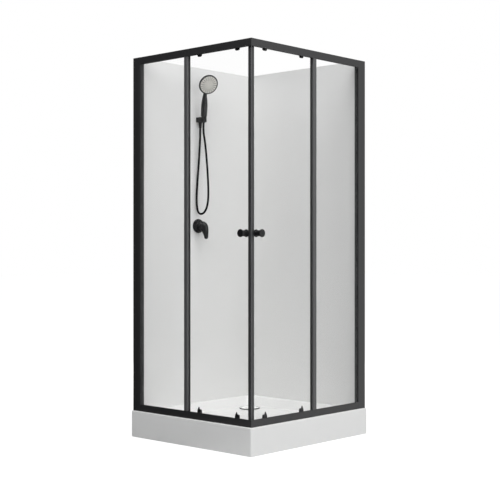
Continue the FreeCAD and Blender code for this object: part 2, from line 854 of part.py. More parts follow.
def lower_carrier(u):
    """The fixed housing of a lower roller: a block with a rounded top, clamped to the glass."""
    z = bottom_rail_top
    shift = housing_clamp_shift()
    half = housing_width / 2
    outline = [(shift + half, -housing_drop), (shift + half, housing_rise - half)]
    outline += disc_points(half, shift, housing_rise - half, 0, 180, 12)[1:]
    outline += [(shift - half, -housing_drop)]
    block = upright_plate(outline, door_inner, door_inner + carrier_thickness + axle_radius, u, z)
    return block.fuse(clamp(u + shift, z + housing_clamp_rise))


def door_carriers():
    return group([upper_carrier(roller_near), upper_carrier(roller_far),
                  lower_carrier(roller_near), lower_carrier(roller_far)])


def release_slide(u):
    """The sprung slide of a lower roller: a pointed thumb piece above, the wheel pin below."""
    side = housing_clamp_shift() + housing_width / 2 + release_slide_gap
    out = side + release_width
    foot = out - release_foot_width
    z = lower_axle_height
    low = -release_foot_height / 2
    high = release_foot_height / 2
    shoulder = bottom_rail_top - z + release_tip_width
    tip = bottom_rail_top + release_rise - z
    middle = (side + out) / 2
    half_tip = release_tip_width / 2
    neck = tip - release_tip_width
    outline = [(foot, low), (out, low), (out, shoulder), (middle + half_tip, neck), (middle, tip),
               (middle - half_tip, neck), (side, shoulder), (side, high), (foot, high)]
    plate = upright_plate(outline, door_inner, door_inner + carrier_thickness, u, z)
    return plate.fuse(axle(u, z))


def wheel(u, z, groove, flange):
    """A grooved wheel about a depth axis."""
    w = wheel_width
    near = (w - wheel_groove_width) / 2
    far = w - near
    bore = axle_radius + axle_fit
    hub = wheel_hub_radius
    rim = groove - wheel_rim
    dish = wheel_dish
    lip = dish / 2
    profile = [(0, bore), (0, hub), (dish, hub), (dish, rim), (0, rim), (0, flange), (near - lip, flange),
               (near, groove), (far, groove), (far + lip, flange), (w, flange), (w, rim), (w - dish, rim),
               (w - dish, hub), (w, hub), (w, bore)]
    return depth_turned(profile, u, z, wheel_start, False)


# Mixer
def mixer_body():
    """The brass body behind the panel: two rear inlets, an outlet above and a neck through the panel."""
    back = -panel_back
    rear = tube_x(mixer_rear_radius, back - mixer_rear_depth, back, 0, mixer_height)
    neck = tube_x(mixer_neck_radius, back, wall_x + mixer_neck_reach, 0, mixer_height)
    face = back - mixer_block_depth
    channel = back - mixer_block_depth / 2
    inlet_z = mixer_height - inlet_drop
    channel_top = mixer_height - mixer_neck_radius
    half = inlet_spacing / 2
    reach = half + inlet_shoulder
    block = box(face, back, -reach, reach, inlet_z - inlet_shoulder, mixer_height)
    end = face - inlet_length
    inlets = [tube_x(inlet_radius, end, face, y, inlet_z) for y in (-half, half)]
    bores = [tube_x(inlet_bore, end, channel, y, inlet_z) for y in (-half, half)]
    bores += [tube_z(inlet_bore, inlet_z, channel_top, channel, y) for y in (-half, half)]
    top_end = mixer_height + mixer_rear_radius + overrun
    top = tube_z(mixer_spigot_radius, mixer_height, top_end, rear_axis_x, 0)
    front = wall_x + mixer_neck_reach
    pocket = tube_x(cartridge_radius + pane_fit, front - cartridge_length, front + overrun, 0, mixer_height)
    return rear.fuse([neck, top, block] + inlets).cut(bores + [pocket]).removeSplitter()


def mixer_cartridge():
    front = wall_x + mixer_neck_reach
    can = tube_x(cartridge_radius, front - cartridge_length, front, 0, mixer_height)
    dish = Part.makeSphere(ball_radius + ball_gap, vec(pivot_x, 0, mixer_height))
    return can.cut(dish)


def mixer_escutcheon():
    back = wall_x
    front = back + escutcheon_thickness
    disc = tube_x(escutcheon_radius, back, front, 0, mixer_height)
    rim = [e for e in disc.Edges if abs(e.BoundBox.XMin - front) < pane_fit and e.BoundBox.XLength < pane_fit]
    disc = disc.makeFillet(escutcheon_edge, rim)
    return disc.cut(tube_x(escutcheon_bore, back - overrun, front + overrun, 0, mixer_height))


def mixer_collar():
    """The turning ring, with a round cup for the lever's ball."""
    back = wall_x + escutcheon_thickness + collar_gap
    front = back + collar_length
    ring = turned_x([(back, 0), (back, collar_back_radius), (front - escutcheon_edge, collar_front_radius),
                     (front, collar_front_radius - escutcheon_edge), (front, 0)], 0, mixer_height)
    cup = Part.makeSphere(ball_radius + ball_gap, vec(pivot_x, 0, mixer_height))
    return ring.cut(cup)


# Each row of shares gives a lever section: forward, up, half height and half width, in ball radii,
# and then its tilt in degrees.
lever_shares = [(0.36, 0.00, 1.08, 1.06, 0), (0.80, -0.12, 1.10, 0.98, 16), (1.22, -0.55, 1.03, 0.84, 42),
                (1.45, -1.22, 0.84, 0.70, 62), (1.62, -2.02, 0.60, 0.56, 76), (1.70, -2.62, 0.48, 0.47, 84)]


def mixer_lever():
    """The ball in the collar's cup and a claw that curves out and down to a round tip."""
    pivot = vec(pivot_x, 0, mixer_height)
    ball = Part.makeSphere(ball_radius, pivot)
    sections = []
    for forward, up, high, wide, tilt in lever_shares:
        centre = pivot + vec(forward * ball_radius, 0, up * ball_radius)
        a = math.radians(tilt)
        upwards = vec(math.sin(a), 0, math.cos(a)) * (high * ball_radius)
        across = vec(0, wide * ball_radius, 0)
        curve = Part.Ellipse(centre + upwards, centre + across, centre)
        turns = [math.radians(90 * i) for i in range(5)]
        arcs = [Part.ArcOfEllipse(curve, a, b).toShape() for a, b in zip(turns, turns[1:])]
        sections.append(Part.Wire(arcs))
    claw = Part.makeLoft(sections, True, False)
    forward, up, high, wide, tilt = lever_shares[-1]
    tip = Part.makeSphere(high * ball_radius, pivot + vec(forward * ball_radius, 0, up * ball_radius))
    return ball.fuse([claw, tip])


def riser_pipe():
    """The pipe behind the panel from the mixer up to the wall outlet, with a nut at each end."""
    low = mixer_height + mixer_rear_radius + overrun
    high = outlet_bottom
    pipe = tube_z(riser_radius, low, high, rear_axis_x, 0)
    nuts = [tube_z(riser_nut_radius, low, low + riser_nut_length, rear_axis_x, 0),
            tube_z(riser_nut_radius, high - riser_nut_length, high, rear_axis_x, 0)]
    return pipe.fuse(nuts).cut(tube_z(riser_bore, low - overrun, high + overrun, rear_axis_x, 0))


# Wall outlet and hand shower
def handle_axis():
    """The direction of the hand shower's handle, which leans out from the wall and a little sideways."""
    lean = math.radians(lean_angle)
    yaw = math.radians(yaw_angle)
    return vec(math.sin(lean) * math.cos(yaw), -math.sin(lean) * math.sin(yaw), math.cos(lean))


def cradle_mouth():
    return vec(cradle_x, 0, outlet_height)


def handle_foot():
    """The middle of the handle's lower end, which stands just above the cradle on its nut."""
    return cradle_mouth() + handle_axis() * handle_seat


def nut_cone(top_radius, bottom_radius, top, length, axis):
    return Part.makeCone(bottom_radius, top_radius, length, top - axis * length, axis)


def wall_outlet():
    """The holder block with its cradle, the hose nozzle below and the stub through the panel."""
    half = outlet_block_width / 2
    block = box(wall_x, cradle_x, -half, half, outlet_bottom, outlet_height)
    cradle = tube_z(cradle_radius, outlet_bottom, outlet_height, cradle_x, 0)
    body = block.fuse(cradle)
    nozzle = tube_z(outlet_nozzle_radius, outlet_bottom - outlet_nozzle_length, outlet_height - cradle_edge,
                    nozzle_x, 0)
    stub_z = outlet_height - outlet_block_height / 2
    stub = tube_x(outlet_stub_radius, -panel_back - outlet_rear_depth, wall_x + overrun, 0, stub_z)
    drop = tube_z(riser_radius, outlet_bottom, stub_z, rear_axis_x, 0)
    body = body.fuse([nozzle, stub, drop])
    axis = handle_axis()
    reach = hand_nut_length + overrun
    slope = (hand_nut_top_radius - hand_nut_bottom_radius) / hand_nut_length
    top = cradle_mouth() + axis * overrun
    top_radius = hand_nut_top_radius + cradle_fit + slope * (overrun - handle_seat)
    bore = nut_cone(top_radius, top_radius - slope * (reach + overrun), top, reach + overrun, axis)
    slot = box(cradle_x, cradle_x + cradle_radius + overrun, -cradle_slot / 2, cradle_slot / 2,
               outlet_bottom - overrun, outlet_height + overrun)
    return body.cut([bore, slot])


def hose_wall_nut():
    top = vec(nozzle_x, 0, outlet_bottom)
    up = vec(0, 0, 1)
    cone = nut_cone(wall_nut_top_radius, wall_nut_bottom_radius, top, wall_nut_length, up)
    return cone.cut(tube_z(outlet_nozzle_radius + pane_fit, outlet_bottom - outlet_nozzle_length - pane_fit,
                           outlet_bottom + overrun, nozzle_x, 0))


def hose_hand_nut():
    top = handle_foot()
    return nut_cone(hand_nut_top_radius, hand_nut_bottom_radius, top, hand_nut_length, handle_axis())


def on_handle(shape):
    """Carry a shape from the handle's own frame, X forward and Z along the handle, to its place."""
    shape.rotate(vec(0, 0, 0), vec(0, 1, 0), lean_angle)
    shape.rotate(vec(0, 0, 0), vec(0, 0, 1), -yaw_angle)
    shape.translate(handle_foot())
    return shape


# Depth and radius of the head's back, in shares of its depth and of the head's radius
head_back_shares = [(0.35, 0.86), (0.80, 0.50), (1.00, 0.21)]

# The part of each side of a handle section that is flat
handle_flat_share = 0.55

# Each row of shares gives a handle section: rise in handle lengths, forward, half width and half
# depth in handle half widths, and its tilt in degrees.
handle_shares = [(0.00, 0.00, 1.00, 0.86, 0), (0.12, 0.00, 1.03, 0.90, 0), (0.45, 0.00, 1.06, 0.92, 0),
                 (0.72, 0.02, 0.90, 0.80, 2), (0.90, 0.10, 0.66, 0.66, 8), (1.06, 0.40, 0.60, 0.62, 18),
                 (1.24, 1.02, 0.60, 0.58, 24)]


def handle_section(rise, forward, wide, deep, tilt):
    """An eight-sided section with broad flats on its front, back and sides."""
    a = wide * handle_half_width
    b = deep * handle_half_width
    c = a * handle_flat_share
    d = b * handle_flat_share
    ring = [(b, c), (d, a), (-d, a), (-b, c), (-b, -c), (-d, -a), (d, -a), (b, -c)]
    points = [vec(x, y, 0) for x, y in ring]
    wire = Part.makePolygon(points + points[:1])
    wire.rotate(vec(0, 0, 0), vec(0, 1, 0), tilt)
    wire.translate(vec(forward * handle_half_width, 0, rise * handle_length))
    return wire


def head_frame(shape):
    """Tilt a head piece, drawn about X with its face at x = 0, and set it on the handle's top."""
    shape.rotate(vec(0, 0, 0), vec(0, 1, 0), head_tilt)
    shape.translate(vec(head_forward, 0, head_rise))
    return on_handle(shape)


def hand_shower_body():
    handle = Part.makeLoft([handle_section(*s) for s in handle_shares], True, False)
    seat = spray_plate_radius + spray_plate_fit
    crown = [(-head_rim - head_back_depth * deep, head_radius * wide) for deep, wide in head_back_shares]
    shell = turned_x([(-face_recess, 0), (-face_recess, seat), (0, seat), (0, head_radius - cradle_edge),
                      (-cradle_edge, head_radius), (-head_rim, head_radius)] + crown
                     + [(-head_rim - head_back_depth, 0)], 0, 0)
    return on_handle(handle).fuse(head_frame(shell))


def spray_plate():
    back = -face_recess
    front = back + spray_plate_thickness
    return head_frame(turned_x([(back, 0), (back, spray_plate_radius), (0, spray_plate_radius),
                                (front, spray_plate_radius - cradle_edge), (front, 0)], 0, 0))


# The hose hangs in one long loop from the wall nut down and up to the hand nut. Its points are the
# corners of the route, from the wall nut's lower end to the hand nut's lower end.
hose_points = [
    (-392.0, 0.0, 1689.0),
    (-392.0, -0.3, 1632.0),
    (-396.4, -3.5, 1530.0),
    (-401.8, -12.0, 1390.0),
    (-404.3, -18.2, 1288.0),
    (-404.5, -19.0, 1230.0),
    (-379.5, -13.8, 1204.5),
    (-346.5, -6.8, 1204.5),
    (-321.5, -2.0, 1230.0),
    (-321.0, -2.0, 1288.0),
    (-327.6, -1.8, 1395.0),
    (-340.6, 0.0, 1525.0),
    (-355.0, 1.6, 1612.0),
]


# The part of the shorter run at a corner that its arc takes on each side
hose_setback_share = 0.45


def hose_route():
    """The chosen points, with the last two on the hand nut's own axis."""
    end = handle_foot() - handle_axis() * hand_nut_length
    lead = end - handle_axis() * hose_lead
    return [vec(*p) for p in hose_points] + [lead, end]


def hose():
    """A round tube of straight runs joined by tangent arcs, as large as the runs allow."""
    points = hose_route()
    edges = []
    radii = []
    start = points[0]
    for before, here, after in zip(points, points[1:], points[2:]):
        back = (before - here).normalize()
        ahead = (after - here).normalize()
        turn = math.pi - back.getAngle(ahead)
        shorter = min((before - here).Length, (after - here).Length)
        setback = shorter * hose_setback_share
        radius = setback / math.tan(turn / 2)
        radii.append(radius)
        first = here + back * setback
        last = here + ahead * setback
        middle = here + (back + ahead).normalize() * (radius / math.cos(turn / 2) - radius)
        edges.append(Part.LineSegment(start, first).toShape())
        edges.append(Part.Arc(first, middle, last).toShape())
        start = last
    edges.append(Part.LineSegment(start, points[-1]).toShape())
    path = Part.Wire(edges)
    ring = Part.Wire([Part.makeCircle(hose_radius, points[0], points[1] - points[0])])
    tube = path.makePipeShell([ring], True, False)
    expected = math.pi * hose_radius ** 2 * path.Length
    print("least hose radius in diameters", round(min(radii) / hose_radius / 2, 2))
    print("hose length", round(path.Length, 1), "volume over section times length",
          round(tube.Volume / expected, 5))
    return tube


def pieces():
    """Every node by name."""
    gaskets = glazing_gasket()
    seal = upright_seal()
    profile = pane_profile()
    found = {
        "shower_tray": shower_tray(),
        "tray_support_frame": tray_support_frame(),
        "waste_trap": waste_trap(),
        "waste_cover": waste_cover(),
        "left_wall_panel": left_wall_panel(),
        "back_wall_panel": back_wall_panel(),
        "back_corner_profile": back_corner_profile(),
        "corner_connectors": corner_connectors(),
        "frame_screws": frame_screws(),
        "door_stops": door_stops(),
        "pane_profiles": group([profile, mirrored(profile)]),
        "upright_seals": group([seal, mirrored(seal)]),
        "glazing_gaskets": group(gaskets + [mirrored(g) for g in gaskets]),
        "mixer_body": mixer_body(),
        "mixer_cartridge": mixer_cartridge(),
        "mixer_escutcheon": mixer_escutcheon(),
        "mixer_collar": mixer_collar(),
        "mixer_lever": mixer_lever(),
        "riser_pipe": riser_pipe(),
        "wall_outlet": wall_outlet(),
        "hose_wall_nut": hose_wall_nut(),
        "hose": hose(),
        "hose_hand_nut": hose_hand_nut(),
        "hand_shower_body": hand_shower_body(),
        "spray_plate": spray_plate(),
    }
    feet = ("centre", "front", "left", "right", "back")
    for name, (x, y) in zip(feet, foot_places()):
        found["levelling_foot_" + name] = levelling_foot(x, y)
    sided = {
        "wall_post": wall_post(),
        "top_rail": top_rail(),
        "bottom_rail": bottom_rail(),
        "fixed_pane": fixed_pane(),
        "door_pane": door_pane(),
        "door_profiles": door_profiles(),
        "door_magnet_seal": door_magnet_seal(),
        "door_knobs": door_knobs(),
        "door_carriers": door_carriers(),
    }
    for name, u in (("near", roller_near), ("far", roller_far)):
        sided["upper_wheel_" + name] = wheel(u, upper_axle_height, upper_groove_radius, upper_flange_radius)
        sided["lower_wheel_" + name] = wheel(u, lower_axle_height, lower_groove_radius, lower_flange_radius)
        sided["release_slide_" + name] = release_slide(u)
    for name, shape in sided.items():
        found["left_" + name] = shape
        found["right_" + name] = mirrored(shape)
    return found


os.makedirs("parts", exist_ok=True)
for node, shape in pieces().items():
    shape.exportStep("parts/" + node + ".step")
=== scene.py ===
import math

import bmesh
import bpy
import numpy as np
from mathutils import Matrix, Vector


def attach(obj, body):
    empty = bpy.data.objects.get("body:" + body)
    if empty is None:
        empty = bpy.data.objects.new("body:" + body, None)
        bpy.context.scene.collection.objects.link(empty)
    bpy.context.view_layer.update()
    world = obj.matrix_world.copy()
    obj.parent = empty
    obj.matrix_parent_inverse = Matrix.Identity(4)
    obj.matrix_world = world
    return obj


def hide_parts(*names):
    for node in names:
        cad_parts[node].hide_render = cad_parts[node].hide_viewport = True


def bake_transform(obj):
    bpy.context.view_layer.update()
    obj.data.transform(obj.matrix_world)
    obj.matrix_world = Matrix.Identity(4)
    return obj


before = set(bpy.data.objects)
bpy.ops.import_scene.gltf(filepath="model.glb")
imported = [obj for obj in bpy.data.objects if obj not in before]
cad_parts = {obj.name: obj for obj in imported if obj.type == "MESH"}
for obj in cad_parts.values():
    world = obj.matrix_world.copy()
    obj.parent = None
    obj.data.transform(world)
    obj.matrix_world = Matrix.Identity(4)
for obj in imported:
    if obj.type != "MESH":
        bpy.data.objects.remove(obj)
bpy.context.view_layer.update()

# The view. A long lens stands level at half the cabin's height, a little to the left of the entry
# corner's diagonal. The frame is shifted sideways so that the cabin stands in its middle.
camera = bpy.data.objects.new("camera", bpy.data.cameras.new("camera"))
bpy.context.collection.objects.link(camera)
picture, focal_length, sensor = 500, 1083, 36  # pixels, pixels and millimetres
camera.data.lens = focal_length / picture * sensor
camera.data.sensor_width = sensor
camera.data.shift_x = -71.3 / picture
camera.data.shift_y = -0.8 / picture
camera.data.clip_end = 60
camera.location = (4.1117, -4.1894, 1.005)
turned_left = math.radians(40.7)
looking = Vector((-math.sin(turned_left), math.cos(turned_left), 0))
camera.rotation_mode = "QUATERNION"
camera.rotation_quaternion = looking.to_track_quat("-Z", "Y")
bpy.context.scene.camera = camera
bpy.context.scene.view_settings.view_transform = "Standard"


# The hose. A smooth black PVC hose of 11.6 mm over a braided core. It hangs from the wall nut, turns in a
# narrow bow above the mixer and climbs to the hand shower's nut.
def linear(colour):
    """The linear value of an sRGB hex colour, as a node socket wants it."""
    c = np.array([int(colour[i:i + 2], 16) for i in (1, 3, 5)]) / 255
    c = np.where(c <= 0.04045, c / 12.92, ((c + 0.055) / 1.055) ** 2.4)
    return (*c.tolist(), 1.0)


def add(tree, kind, settings=None, **links):
    """A node of that kind. Settings go to its inputs by socket name, or else to its properties. Links join its
    inputs, by name or, after an underscore, by number."""
    node = tree.nodes.new("ShaderNode" + kind)
    for name, value in (settings or {}).items():
        if name in node.inputs:
            node.inputs[name].default_value = value
        else:
            setattr(node, name, value)
    for name, output in links.items():
        socket = int(name[1:]) if name[0] == "_" else name.replace("_", " ")
        tree.links.new(node.inputs[socket], output)
    return node


def finish_named(name):
    """An empty node material with its output, ready for its shader."""
    material = bpy.data.materials.new(name)
    material.use_nodes = True
    material.node_tree.nodes.clear()
    return material, material.node_tree, add(material.node_tree, "OutputMaterial")


def skin(rows):
    """Quads between neighbouring rows of points, each row a closed ring of the same number of points."""
    n, m = rows.shape[:2]
    i, j = np.meshgrid(np.arange(n - 1) * m, np.arange(m), indexing="ij")
    k = (j + 1) % m
    return rows.reshape(-1, 3), np.stack([i + j, i + k, i + m + k, i + m + j], -1).reshape(-1, 4).tolist()


def make(name, solids, finish, body, nodes=(), crease=35):
    """One piece from (points in millimetres, faces) pairs: merged, turned outwards and shaded smooth up to the
    crease angle."""
    starts = np.cumsum([0] + [len(p) for p, f in solids])
    faces = [[v + start for v in face] for (p, f), start in zip(solids, starts.tolist()) for face in f]
    mesh = bpy.data.meshes.new(name)
    mesh.from_pydata(np.concatenate([p for p, f in solids]) * 0.001, [], faces)
    bm = bmesh.new()
    bm.from_mesh(mesh)
    bmesh.ops.remove_doubles(bm, verts=bm.verts, dist=1e-6)
    bmesh.ops.recalc_face_normals(bm, faces=bm.faces)
    bm.to_mesh(mesh)
    bm.free()
    mesh.shade_smooth()
    mesh.set_sharp_from_angle(angle=math.radians(crease))
    mesh.materials.append(finish)
    piece = bpy.data.objects.new(name, mesh)
    bpy.context.collection.objects.link(piece)
    if body:
        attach(piece, body)
    if nodes:
        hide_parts(*nodes)
    return piece


def moulded(name, colour, roughness, grain, index=1.53):
    """A moulded plastic or rubber: one even colour, a fine spark-eroded grain and a slightly uneven sheen."""
    material, tree, output = finish_named(name)
    place = add(tree, "TexCoord")
    spark = add(tree, "TexNoise", {"Scale": grain, "Detail": 2.0}, Vector=place.outputs["Object"])
    flow = add(tree, "TexNoise", {"Scale": 30.0, "Detail": 2.0}, Vector=place.outputs["Object"])
    rough = add(tree, "MapRange", {"To Min": roughness - 0.06, "To Max": roughness + 0.06},
                Value=flow.outputs["Fac"])
    bump = add(tree, "Bump", {"Strength": 0.12, "Distance": 0.0004}, Height=spark.outputs["Fac"])
    shader = add(tree, "BsdfPrincipled", {"Base Color": linear(colour), "IOR": index},
                 Roughness=rough.outputs["Result"], Normal=bump.outputs["Normal"])
    tree.links.new(output.inputs["Surface"], shader.outputs["BSDF"])
    return material


hose_route = [
    (-0.392, 0.0, 1.689), (-0.392, -0.0003, 1.632), (-0.3964, -0.0035, 1.53), (-0.4018, -0.012, 1.39),
    (-0.4025, -0.0186, 1.2882), (-0.3985, -0.0178, 1.2298), (-0.3852, -0.0151, 1.2034),
    (-0.357, -0.0093, 1.2034), (-0.3335, -0.0044, 1.2332), (-0.3222, -0.0021, 1.291), (-0.3258, -0.0018, 1.395),
    (-0.3406, 0.0, 1.525), (-0.355, 0.0016, 1.612), (-0.370237, 0.002365, 1.671024),
    (-0.365599, 0.000947, 1.71717)]
hose_line = bpy.data.curves.new("hose_line", "CURVE")
hose_line.dimensions = "3D"
hose_line.resolution_u = 40
spline = hose_line.splines.new("NURBS")
spline.points.add(len(hose_route) - 1)
spline.points.foreach_set("co", [v for p in hose_route for v in (*p, 1.0)])
spline.order_u = 3
spline.use_endpoint_u = True
line_object = bpy.data.objects.new("hose_line", hose_line)
line_mesh = bpy.data.meshes.new_from_object(line_object)
path = np.array([v.co for v in line_mesh.vertices], float)
bpy.data.objects.remove(line_object)
bpy.data.meshes.remove(line_mesh)


def even_stations(path, spacing):
    """Points at equal distances along a line, found by its running length."""
    run = np.r_[0, np.cumsum(np.linalg.norm(np.diff(path, axis=0), axis=1))]
    at = np.linspace(0, run[-1], int(run[-1] / spacing) + 1)
    return np.stack([np.interp(at, run, path[:, i]) for i in range(3)], -1)


def smooth_tube(path, radius, spacing, around=20):
    """A tube about a line that lies near one upright plane: rings of equal radius at equal distances along the line,
    each square to it, closed by a point at both ends."""
    at = even_stations(path, spacing)
    ahead = np.gradient(at, axis=0)
    ahead /= np.linalg.norm(ahead, axis=1)[:, None]
    side = np.cross(ahead, [0.15, 1.0, 0.0])
    side /= np.linalg.norm(side, axis=1)[:, None]
    turn = np.linspace(0, 2 * np.pi, around, endpoint=False)[None, :, None]
    ring = np.cos(turn) * side[:, None] + np.sin(turn) * np.cross(ahead, side)[:, None]
    rows = at[:, None] + radius * ring
    ends = [np.repeat(at[i][None, None], around, 1) for i in (0, -1)]
    return np.concatenate([ends[0], rows, ends[1]]) * 1000


hose_black = moulded("black_soft_pvc", "#0b0b0c", 0.5, 500.0, 1.2)
tube = skin(smooth_tube(path, radius=0.0058, spacing=0.003))
hose = make("shower_hose", [tube], hose_black, None, ["hose"], crease=80)
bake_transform(hose)

# The room. A white floor and a white surround as in a catalogue picture, with a broad soft lamp on the
# right, smaller ones on the left and above, a small one behind the camera and one for the walls' backs. At the
# left a dark sector is painted into what glossy rays see, in the world and on the floor: a painted dark
# reflection with nothing there, so that black coats stay deep on that side.
room = bpy.data.worlds.new("white_room")
room.use_nodes = True
bpy.context.scene.world = room


def seen_directly(tree):
    """1 for what the camera sees itself, in a gloss or through glass, and 0 where the ray only carries light."""
    ray = add(tree, "LightPath")
    seen = add(tree, "Math", {"operation": "MAXIMUM"}, _0=ray.outputs["Is Camera Ray"],
               _1=ray.outputs["Is Transmission Ray"])
    return add(tree, "Math", {"operation": "MAXIMUM"}, _0=seen.outputs[0],
               _1=ray.outputs["Is Glossy Ray"]).outputs[0]


def painted_dark_reflection_mask(tree, place):
    """1 where a glossy ray looks into the painted dark reflection, a sector to the left of the cabin that fades at
    its sides."""
    direction = add(tree, "VectorMath", {"operation": "NORMALIZE"}, _0=place)
    way = add(tree, "VectorMath", {"operation": "DOT_PRODUCT"}, _0=direction.outputs["Vector"])
    way.inputs[1].default_value = (-0.652, -0.758, 0.0)
    hung = add(tree, "MapRange", {"From Min": 0.55, "From Max": 0.85}, Value=way.outputs["Value"])
    return add(tree, "Math", {"operation": "MULTIPLY"}, _0=hung.outputs["Result"],
               _1=add(tree, "LightPath").outputs["Is Glossy Ray"]).outputs[0]


tree = room.node_tree
tree.nodes.clear()
dim = add(tree, "Background", {"Color": linear("#f4f6f8"), "Strength": 0.34})
white = add(tree, "Background", {"Color": (1, 1, 1, 1), "Strength": 1.0})
both = add(tree, "MixShader", None, Fac=seen_directly(tree), _1=dim.outputs[0], _2=white.outputs[0])
# Painted dark reflection: the dark colour that glossy rays see in that sector, where there is no object.
painted_dark_reflection = add(tree, "Background", {"Color": linear("#1c1c1e"), "Strength": 1.0})
dark_reflection_share = painted_dark_reflection_mask(tree, add(tree, "TexCoord").outputs["Generated"])
around = add(tree, "MixShader", None, Fac=dark_reflection_share, _1=both.outputs[0], _2=painted_dark_reflection.outputs[0])
add(tree, "OutputWorld", None, Surface=around.outputs[0])

floor_mesh = bpy.data.meshes.new("floor")
floor_mesh.from_pydata([(-30, -30, 0), (30, -30, 0), (30, 30, 0), (-30, 30, 0)], [], [(0, 1, 2, 3)])
floor = bpy.data.objects.new("floor", floor_mesh)
bpy.context.collection.objects.link(floor)
floor_white, tree, output = finish_named("matt_white_floor")
plain = add(tree, "BsdfDiffuse", {"Color": linear("#b8b8b8")})
faint = add(tree, "BsdfDiffuse", {"Color": linear("#848484")})
glow = add(tree, "Emission", {"Color": (1, 1, 1, 1), "Strength": 0.93})
shown = add(tree, "AddShader", None, _0=faint.outputs[0], _1=glow.outputs[0])
both = add(tree, "MixShader", None, Fac=seen_directly(tree), _1=plain.outputs[0], _2=shown.outputs[0])
# The same painted dark reflection on the floor, for glossy rays only.
painted_dark_reflection = add(tree, "BsdfDiffuse", {"Color": linear("#1c1c1e")})
dark_reflection_share = painted_dark_reflection_mask(tree, add(tree, "NewGeometry").outputs["Position"])
around = add(tree, "MixShader", None, Fac=dark_reflection_share, _1=both.outputs[0], _2=painted_dark_reflection.outputs[0])
tree.links.new(output.inputs["Surface"], around.outputs[0])
floor_mesh.materials.append(floor_white)


def lamp(name, place, size, power):
    """A square soft lamp that faces the cabin's middle."""
    light = bpy.data.lights.new(name, "AREA")
    light.size = size
    light.energy = power
    holder = bpy.data.objects.new(name, light)
    bpy.context.collection.objects.link(holder)
    holder.location = place
    holder.rotation_mode = "QUATERNION"
    holder.rotation_quaternion = (Vector((0, 0, 1.0)) - Vector(place)).to_track_quat("-Z", "Y")


lamp("right_softbox", (5.2, 0.0, 2.0), 5.0, 110)
lamp("left_softbox", (1.0, -2.3, 3.5), 2.0, 46)
lamp("overhead", (2.4, -1.0, 8.5), 3.0, 240)
lamp("strip_behind_camera", (5.9, -3.7, 1.2), 0.9, 16)
lamp("back_softbox", (-2.8, 2.86, 1.0), 1.2, 90)


# The tray. Sanitary acrylic, vacuum formed over a mould and backed with resin: a low basin with sloping
# sides, soft edges, a flat rim for the frame and a floor that falls to the waste in the wall corner.
def eased(rows, radius, steps=5):
    """Rows of points with each inner row replaced by a short quadratic curve, which starts and ends radius
    away from it or at 0.45 of the way to its neighbour."""
    out = [rows[:1]]
    t = np.linspace(0, 1, steps + 1).reshape(-1, *[1] * (rows.ndim - 1))
    for a, b, c in zip(rows, rows[1:], rows[2:]):
        ends = []
        for other in (a, c):
            way = other - b
            reach = np.maximum(np.linalg.norm(way, axis=-1, keepdims=True), 1e-9)
            ends.append(b + way / reach * np.minimum(radius, 0.45 * reach))
        out.append((1 - t) ** 2 * ends[0] + 2 * t * (1 - t) * b + t ** 2 * ends[1])
    return np.concatenate(out + [rows[-1:]])


def rim_ring(x0, x1, y0, y1, radius, z):
    """A rounded rectangle: four quarter circles about the inset corners, with even points on the straight
    sides."""
    corner_points, side_points = 11, 22
    centres = [(x1 - radius, y1 - radius), (x0 + radius, y1 - radius), (x0 + radius, y0 + radius),
               (x1 - radius, y0 + radius)]
    arcs = []
    for quarter, (cx, cy) in enumerate(centres):
        turn = np.linspace(0, np.pi / 2, corner_points) + quarter * np.pi / 2
        arcs.append(np.stack([cx + radius * np.cos(turn), cy + radius * np.sin(turn)], -1))
    share = (np.arange(1, side_points + 1) / (side_points + 1))[:, None]
    parts = []
    for here, after in zip(arcs, arcs[1:] + arcs[:1]):
        parts += [here, here[-1] + share * (after[0] - here[-1])]
    flat = np.concatenate(parts)
    return np.concatenate([flat, np.broadcast_to(z, (len(flat), 1))], 1)


waste = np.array([-279.0, 279.0])
waste_level, rim_level = 87, 140


def floor_level(points):
    """The floor's height: it rises evenly from the waste towards the entry corner, 5 mm over the whole
    diagonal of 900 mm sides."""
    rise = 5 / (900 * 2 ** 0.5)
    return waste_level + rise * ((points[:, :1] - waste[0]) - (points[:, 1:2] - waste[1])) / 2 ** 0.5


def waste_ring(radius, z, towards):
    """A circle about the waste whose points face those of another ring."""
    way = towards[:, :2] - waste
    flat = waste + radius * way / np.linalg.norm(way, axis=1)[:, None]
    return np.concatenate([flat, np.broadcast_to(z, (len(flat), 1))], 1)


def tray_rows():
    """Rings from the waste hole over the floor, slope, rim and apron, and back along the underside."""
    hole_radius, sump_radius = 45.5, 59
    sump_level, under_floor, under_rim, apron_foot = 83, 78, 134, 1.5
    low = rim_ring(-368, 362, -362, 368, 26, waste_level)
    top = rim_ring(-402, 396, -396, 402, 46, rim_level)
    up = (floor_level(low) - waste_level) / (rim_level - waste_level)
    foot = low + up * (top - low)
    sump = waste_ring(sump_radius, 0, foot)
    sump[:, 2:] = floor_level(sump)
    shares = np.linspace(0, 1, 9)[1:-1, None, None]
    floor_rows = sump + shares * (foot - sump)
    hole = waste_ring(hole_radius, under_floor, foot)
    drain = [hole, waste_ring(hole_radius, sump_level, foot), waste_ring(sump_radius, sump_level, foot), sump]
    outer = rim_ring(-450, 450, -450, 450, 9, rim_level)
    apron = rim_ring(-450, 450, -450, 450, 9, apron_foot)
    under = [apron, rim_ring(-444, 444, -444, 444, 2, apron_foot), rim_ring(-444, 444, -444, 444, 2, under_rim),
             rim_ring(-408, 402, -402, 408, 52, under_rim), rim_ring(-374, 368, -368, 374, 32, under_floor),
             waste_ring(60, under_floor, foot), hole]
    # Of the two eased runs only the curves are kept: the slope's at its foot and top, and the rim's outer one.
    slope = eased(np.stack([floor_rows[-1], foot, top, outer, apron]), 9.0, 6)[1:15]
    edge = eased(np.stack([top, outer, apron]), 6.0, 6)[1:-1]
    return np.concatenate([eased(np.stack(drain), 2.5, 4), floor_rows, slope, edge, np.stack(under)])


